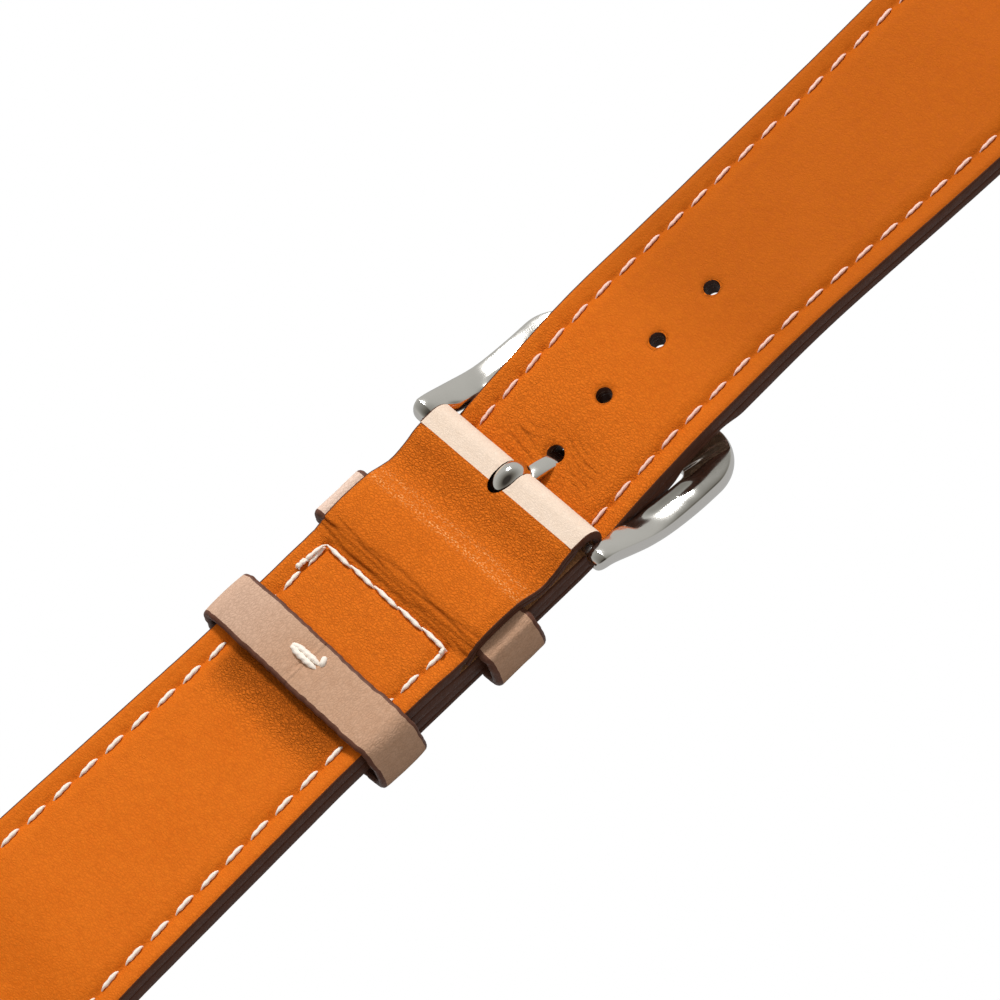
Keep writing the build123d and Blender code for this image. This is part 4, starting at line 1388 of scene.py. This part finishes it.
def make_tang():
    """The knuckle and the cranked prong, each a closed skin, joined as one piece."""
    knuckle = make_tube("tang_steel", lathe_points(knuckle_profile(21), 48), polished_steel, 60)
    foot = ground + prong_half_thick
    side_line = rounded_line([(0.9, -0.60), (2.5, -0.90), (4.8, -1.90), (6.9, -4.10), (9.0, foot),
                              (tang_tip_u - 0.02, foot)], 1.2, 0.15)
    normals = left_normals(side_line)
    section = [(-1.0, 0.66), (-0.95, 0.88), (-0.78, 1.0), (0.78, 1.0), (0.95, 0.88), (1.0, 0.66),
               (1.0, -0.55), (0.85, -0.92), (0.5, -1.0), (-0.5, -1.0), (-0.85, -0.92), (-1.0, -0.55)]
    rings = []
    run = run_length(side_line)
    for i, (u, z) in enumerate(side_line):
        end = 1 - 0.45 * smooth(run[-1] - 0.9, run[-1], run[i])
        aside = -0.42 * smooth(0.4, 2.0, u) * fade(7.0, 11.0, u)
        rings.append([(u + normals[i, 0] * n * prong_half_thick * end,
                       aside + y * prong_half_wide * end,
                       z + normals[i, 1] * n * prong_half_thick * end) for y, n in section])
    cut(knuckle, make_tube("prong", rings, polished_steel, 50), "UNION")
    bore = lathe_points([(bore_radius, -3.0), (bore_radius, 3.0)], 32)
    cut(knuckle, make_tube("bore", bore, polished_steel))
    tidy_normals(knuckle, 40)
    single_piece(knuckle, "buckle_tang", "tang")


# Nodes that keep their CAD shape
def dress_bars():
    for name, thing in nodes.items():
        if "_bar_" in name and not name.endswith("spring"):
            thing.data.materials.clear()
            thing.data.materials.append(bar_steel)


def make_bar_springs():
    """Each bar's spring, in two halves."""
    wire, sides, turns = 0.10, 8, 10
    for bar_name, body in (("buckle_bar", "root"), ("short_lug_bar", "short_bar"),
                           ("long_lug_bar", "long_bar")):
        low, high = low_high(f"{bar_name}_spring")
        middle = (low + high) / 2
        coil = (high[0] - low[0]) / 2 - wire
        reach = (high[1] - low[1]) / 2
        for pin, side in (("left", 1), ("right", -1)):
            t = np.linspace(0, 1, turns * 20 + 1)
            angle = t * turns * 2 * np.pi
            out = np.column_stack([np.cos(angle), 0 * t, np.sin(angle)])
            line = middle + coil * out
            line[:, 1] += side * (wire + t * (reach - 2 * wire))
            across = np.cross(unit(np.gradient(line, axis=0)), out)
            rings = np.stack([line + wire * (out * np.cos(a) + across * np.sin(a))
                              for a in angles(sides)], axis=1)
            thing = make_tube(f"{bar_name}_coil_{pin}", rings, spring_steel, 60)
            single_piece(thing, f"{bar_name}_spring", body)
            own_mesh(thing)


# The stage
def make_stage():
    """A floor that the camera sees as white, and that mirrors show as grey."""
    floor_half = 900.0
    corners = [(x * floor_half, y * floor_half, ground - 0.01)
               for x, y in ((-1, -1), (1, -1), (1, 1), (-1, 1))]
    material, tree = new_material("floor")
    shader = dress(tree, {"Base Color": (0.42, 0.42, 0.42), "Roughness": 0.9, "Specular IOR Level": 0.1})
    glow = node(tree, "ShaderNodeEmission", Strength=1.0)
    pale = node(tree, "ShaderNodeEmission", Strength=0.5)
    mirrored = by_ray(tree, "Is Glossy Ray", shader, pale)
    seen = by_ray(tree, "Is Camera Ray", mirrored, glow)
    tree.links.new(seen.outputs[0], tree.nodes["Material Output"].inputs["Surface"])
    make_object("floor", np.array(corners), [(0, 1, 2, 3)], [material])


def make_world():
    """A plain sky, a room that mirrors show, and white behind everything."""
    world = bpy.data.worlds.new("studio")
    bpy.context.scene.world = world
    world.use_nodes = True
    tree = world.node_tree
    background = tree.nodes["Background"]
    direction = node(tree, "ShaderNodeTexCoord").outputs["Generated"]
    split = node(tree, "ShaderNodeSeparateXYZ")
    tree.links.new(direction, split.inputs[0])
    height = arithmetic(tree, "MULTIPLY_ADD", split.outputs["Z"], 0.5, 0.5)
    sky = ramp(tree, height, [(0.48, (0.44, 0.44, 0.45)), (0.60, 0.50), (0.85, (0.56, 0.56, 0.55)),
                              (1.0, (0.64, 0.63, 0.61))])
    tree.links.new(sky, background.inputs["Color"])
    background.inputs["Strength"].default_value = 0.90
    towards = node(tree, "ShaderNodeVectorMath", operation="DOT_PRODUCT")
    tree.links.new(direction, towards.inputs[0])
    towards.inputs[1].default_value = (-0.199, -0.466, 0.862)
    share = arithmetic(tree, "MULTIPLY_ADD", towards.outputs["Value"], 0.5, 0.5)
    room = ramp(tree, share, [(0.40, (0.55, 0.55, 0.53)), (0.60, (0.50, 0.50, 0.48)),
                              (0.75, (0.34, 0.34, 0.32)), (0.90, (0.16, 0.15, 0.13)),
                              (0.965, (0.04, 0.035, 0.03))])
    studio = node(tree, "ShaderNodeBackground", Strength=1.0)
    tree.links.new(room, studio.inputs["Color"])
    white = node(tree, "ShaderNodeBackground", Strength=1.0)
    white.inputs["Color"].default_value = (1, 1, 1, 1)
    mirrored = by_ray(tree, "Is Glossy Ray", background, studio)
    seen = by_ray(tree, "Is Camera Ray", mirrored, white)
    tree.links.new(seen.outputs[0], tree.nodes["World Output"].inputs["Surface"])


def area_light(name, spot, target, size, energy):
    light = bpy.data.lights.new(name, "AREA")
    light.shape = "RECTANGLE"
    light.size, light.size_y = size
    light.energy = energy
    thing = bpy.data.objects.new(name, light)
    bpy.context.scene.collection.objects.link(thing)
    thing.location = Vector(place(spot))
    aim = Vector(place(target)) - thing.location
    thing.rotation_euler = aim.to_track_quat("-Z", "Y").to_euler()


# The camera, as fitted to the photograph
camera_azimuth, camera_elevation, camera_roll = -23.095, 59.58, -23.345
camera_distance = 512.88
pixels_per_mm = 11.367
bar_pixel = (510.78, 483.48)
picture_side = 1000.0
sensor_width = 36.0


def make_camera():
    a, e, r = (math.radians(v) for v in (camera_azimuth, camera_elevation, camera_roll))
    back = Vector((math.sin(a) * math.cos(e), -math.cos(a) * math.cos(e), math.sin(e)))
    right = Vector((math.cos(a), math.sin(a), 0))
    up = back.cross(right)
    turned_right = right * math.cos(r) + up * math.sin(r)
    turned_up = up * math.cos(r) - right * math.sin(r)
    shift_x = (bar_pixel[0] - picture_side / 2) / pixels_per_mm
    shift_y = -(bar_pixel[1] - picture_side / 2) / pixels_per_mm
    spot = back * camera_distance - turned_right * shift_x - turned_up * shift_y
    camera = bpy.data.cameras.new("camera")
    camera.sensor_width = sensor_width
    camera.lens = pixels_per_mm * camera_distance / picture_side * sensor_width
    camera.clip_start, camera.clip_end = 0.01, 10.0
    thing = bpy.data.objects.new("camera", camera)
    bpy.context.scene.collection.objects.link(thing)
    axes = Matrix((turned_right, turned_up, back)).transposed()
    thing.matrix_world = Matrix.Translation(Vector(place(spot))) @ axes.to_4x4()
    bpy.context.scene.camera = thing


make_camera()
for piece in (short, long):
    make_lining(piece)
make_short_outer()
make_long_outer()
for piece in (short, long):
    lining, filler = piece.lining_thick, piece.filler_thick
    make_core(piece, "filler", lining + glue_gap, filler - 0.03, filler_board)
    make_core(piece, "tape", lining + filler + 0.01, tape_thick - 0.03, woven_tape)
make_seams(short, 1.0, cream_thread, thread_radius * 1.25)
make_seams(long, 3.0, pink_thread, thread_radius)
make_fixed_keeper()
make_floating_loop()
make_loop_knot()
make_frame()
make_tang()
dress_bars()
make_bar_springs()
make_stage()
make_world()
area_light("key", (538, 600, 850), (0, 0, 0), (0.24, 0.24), 12.2)
bpy.context.scene.view_settings.view_transform = "Standard"
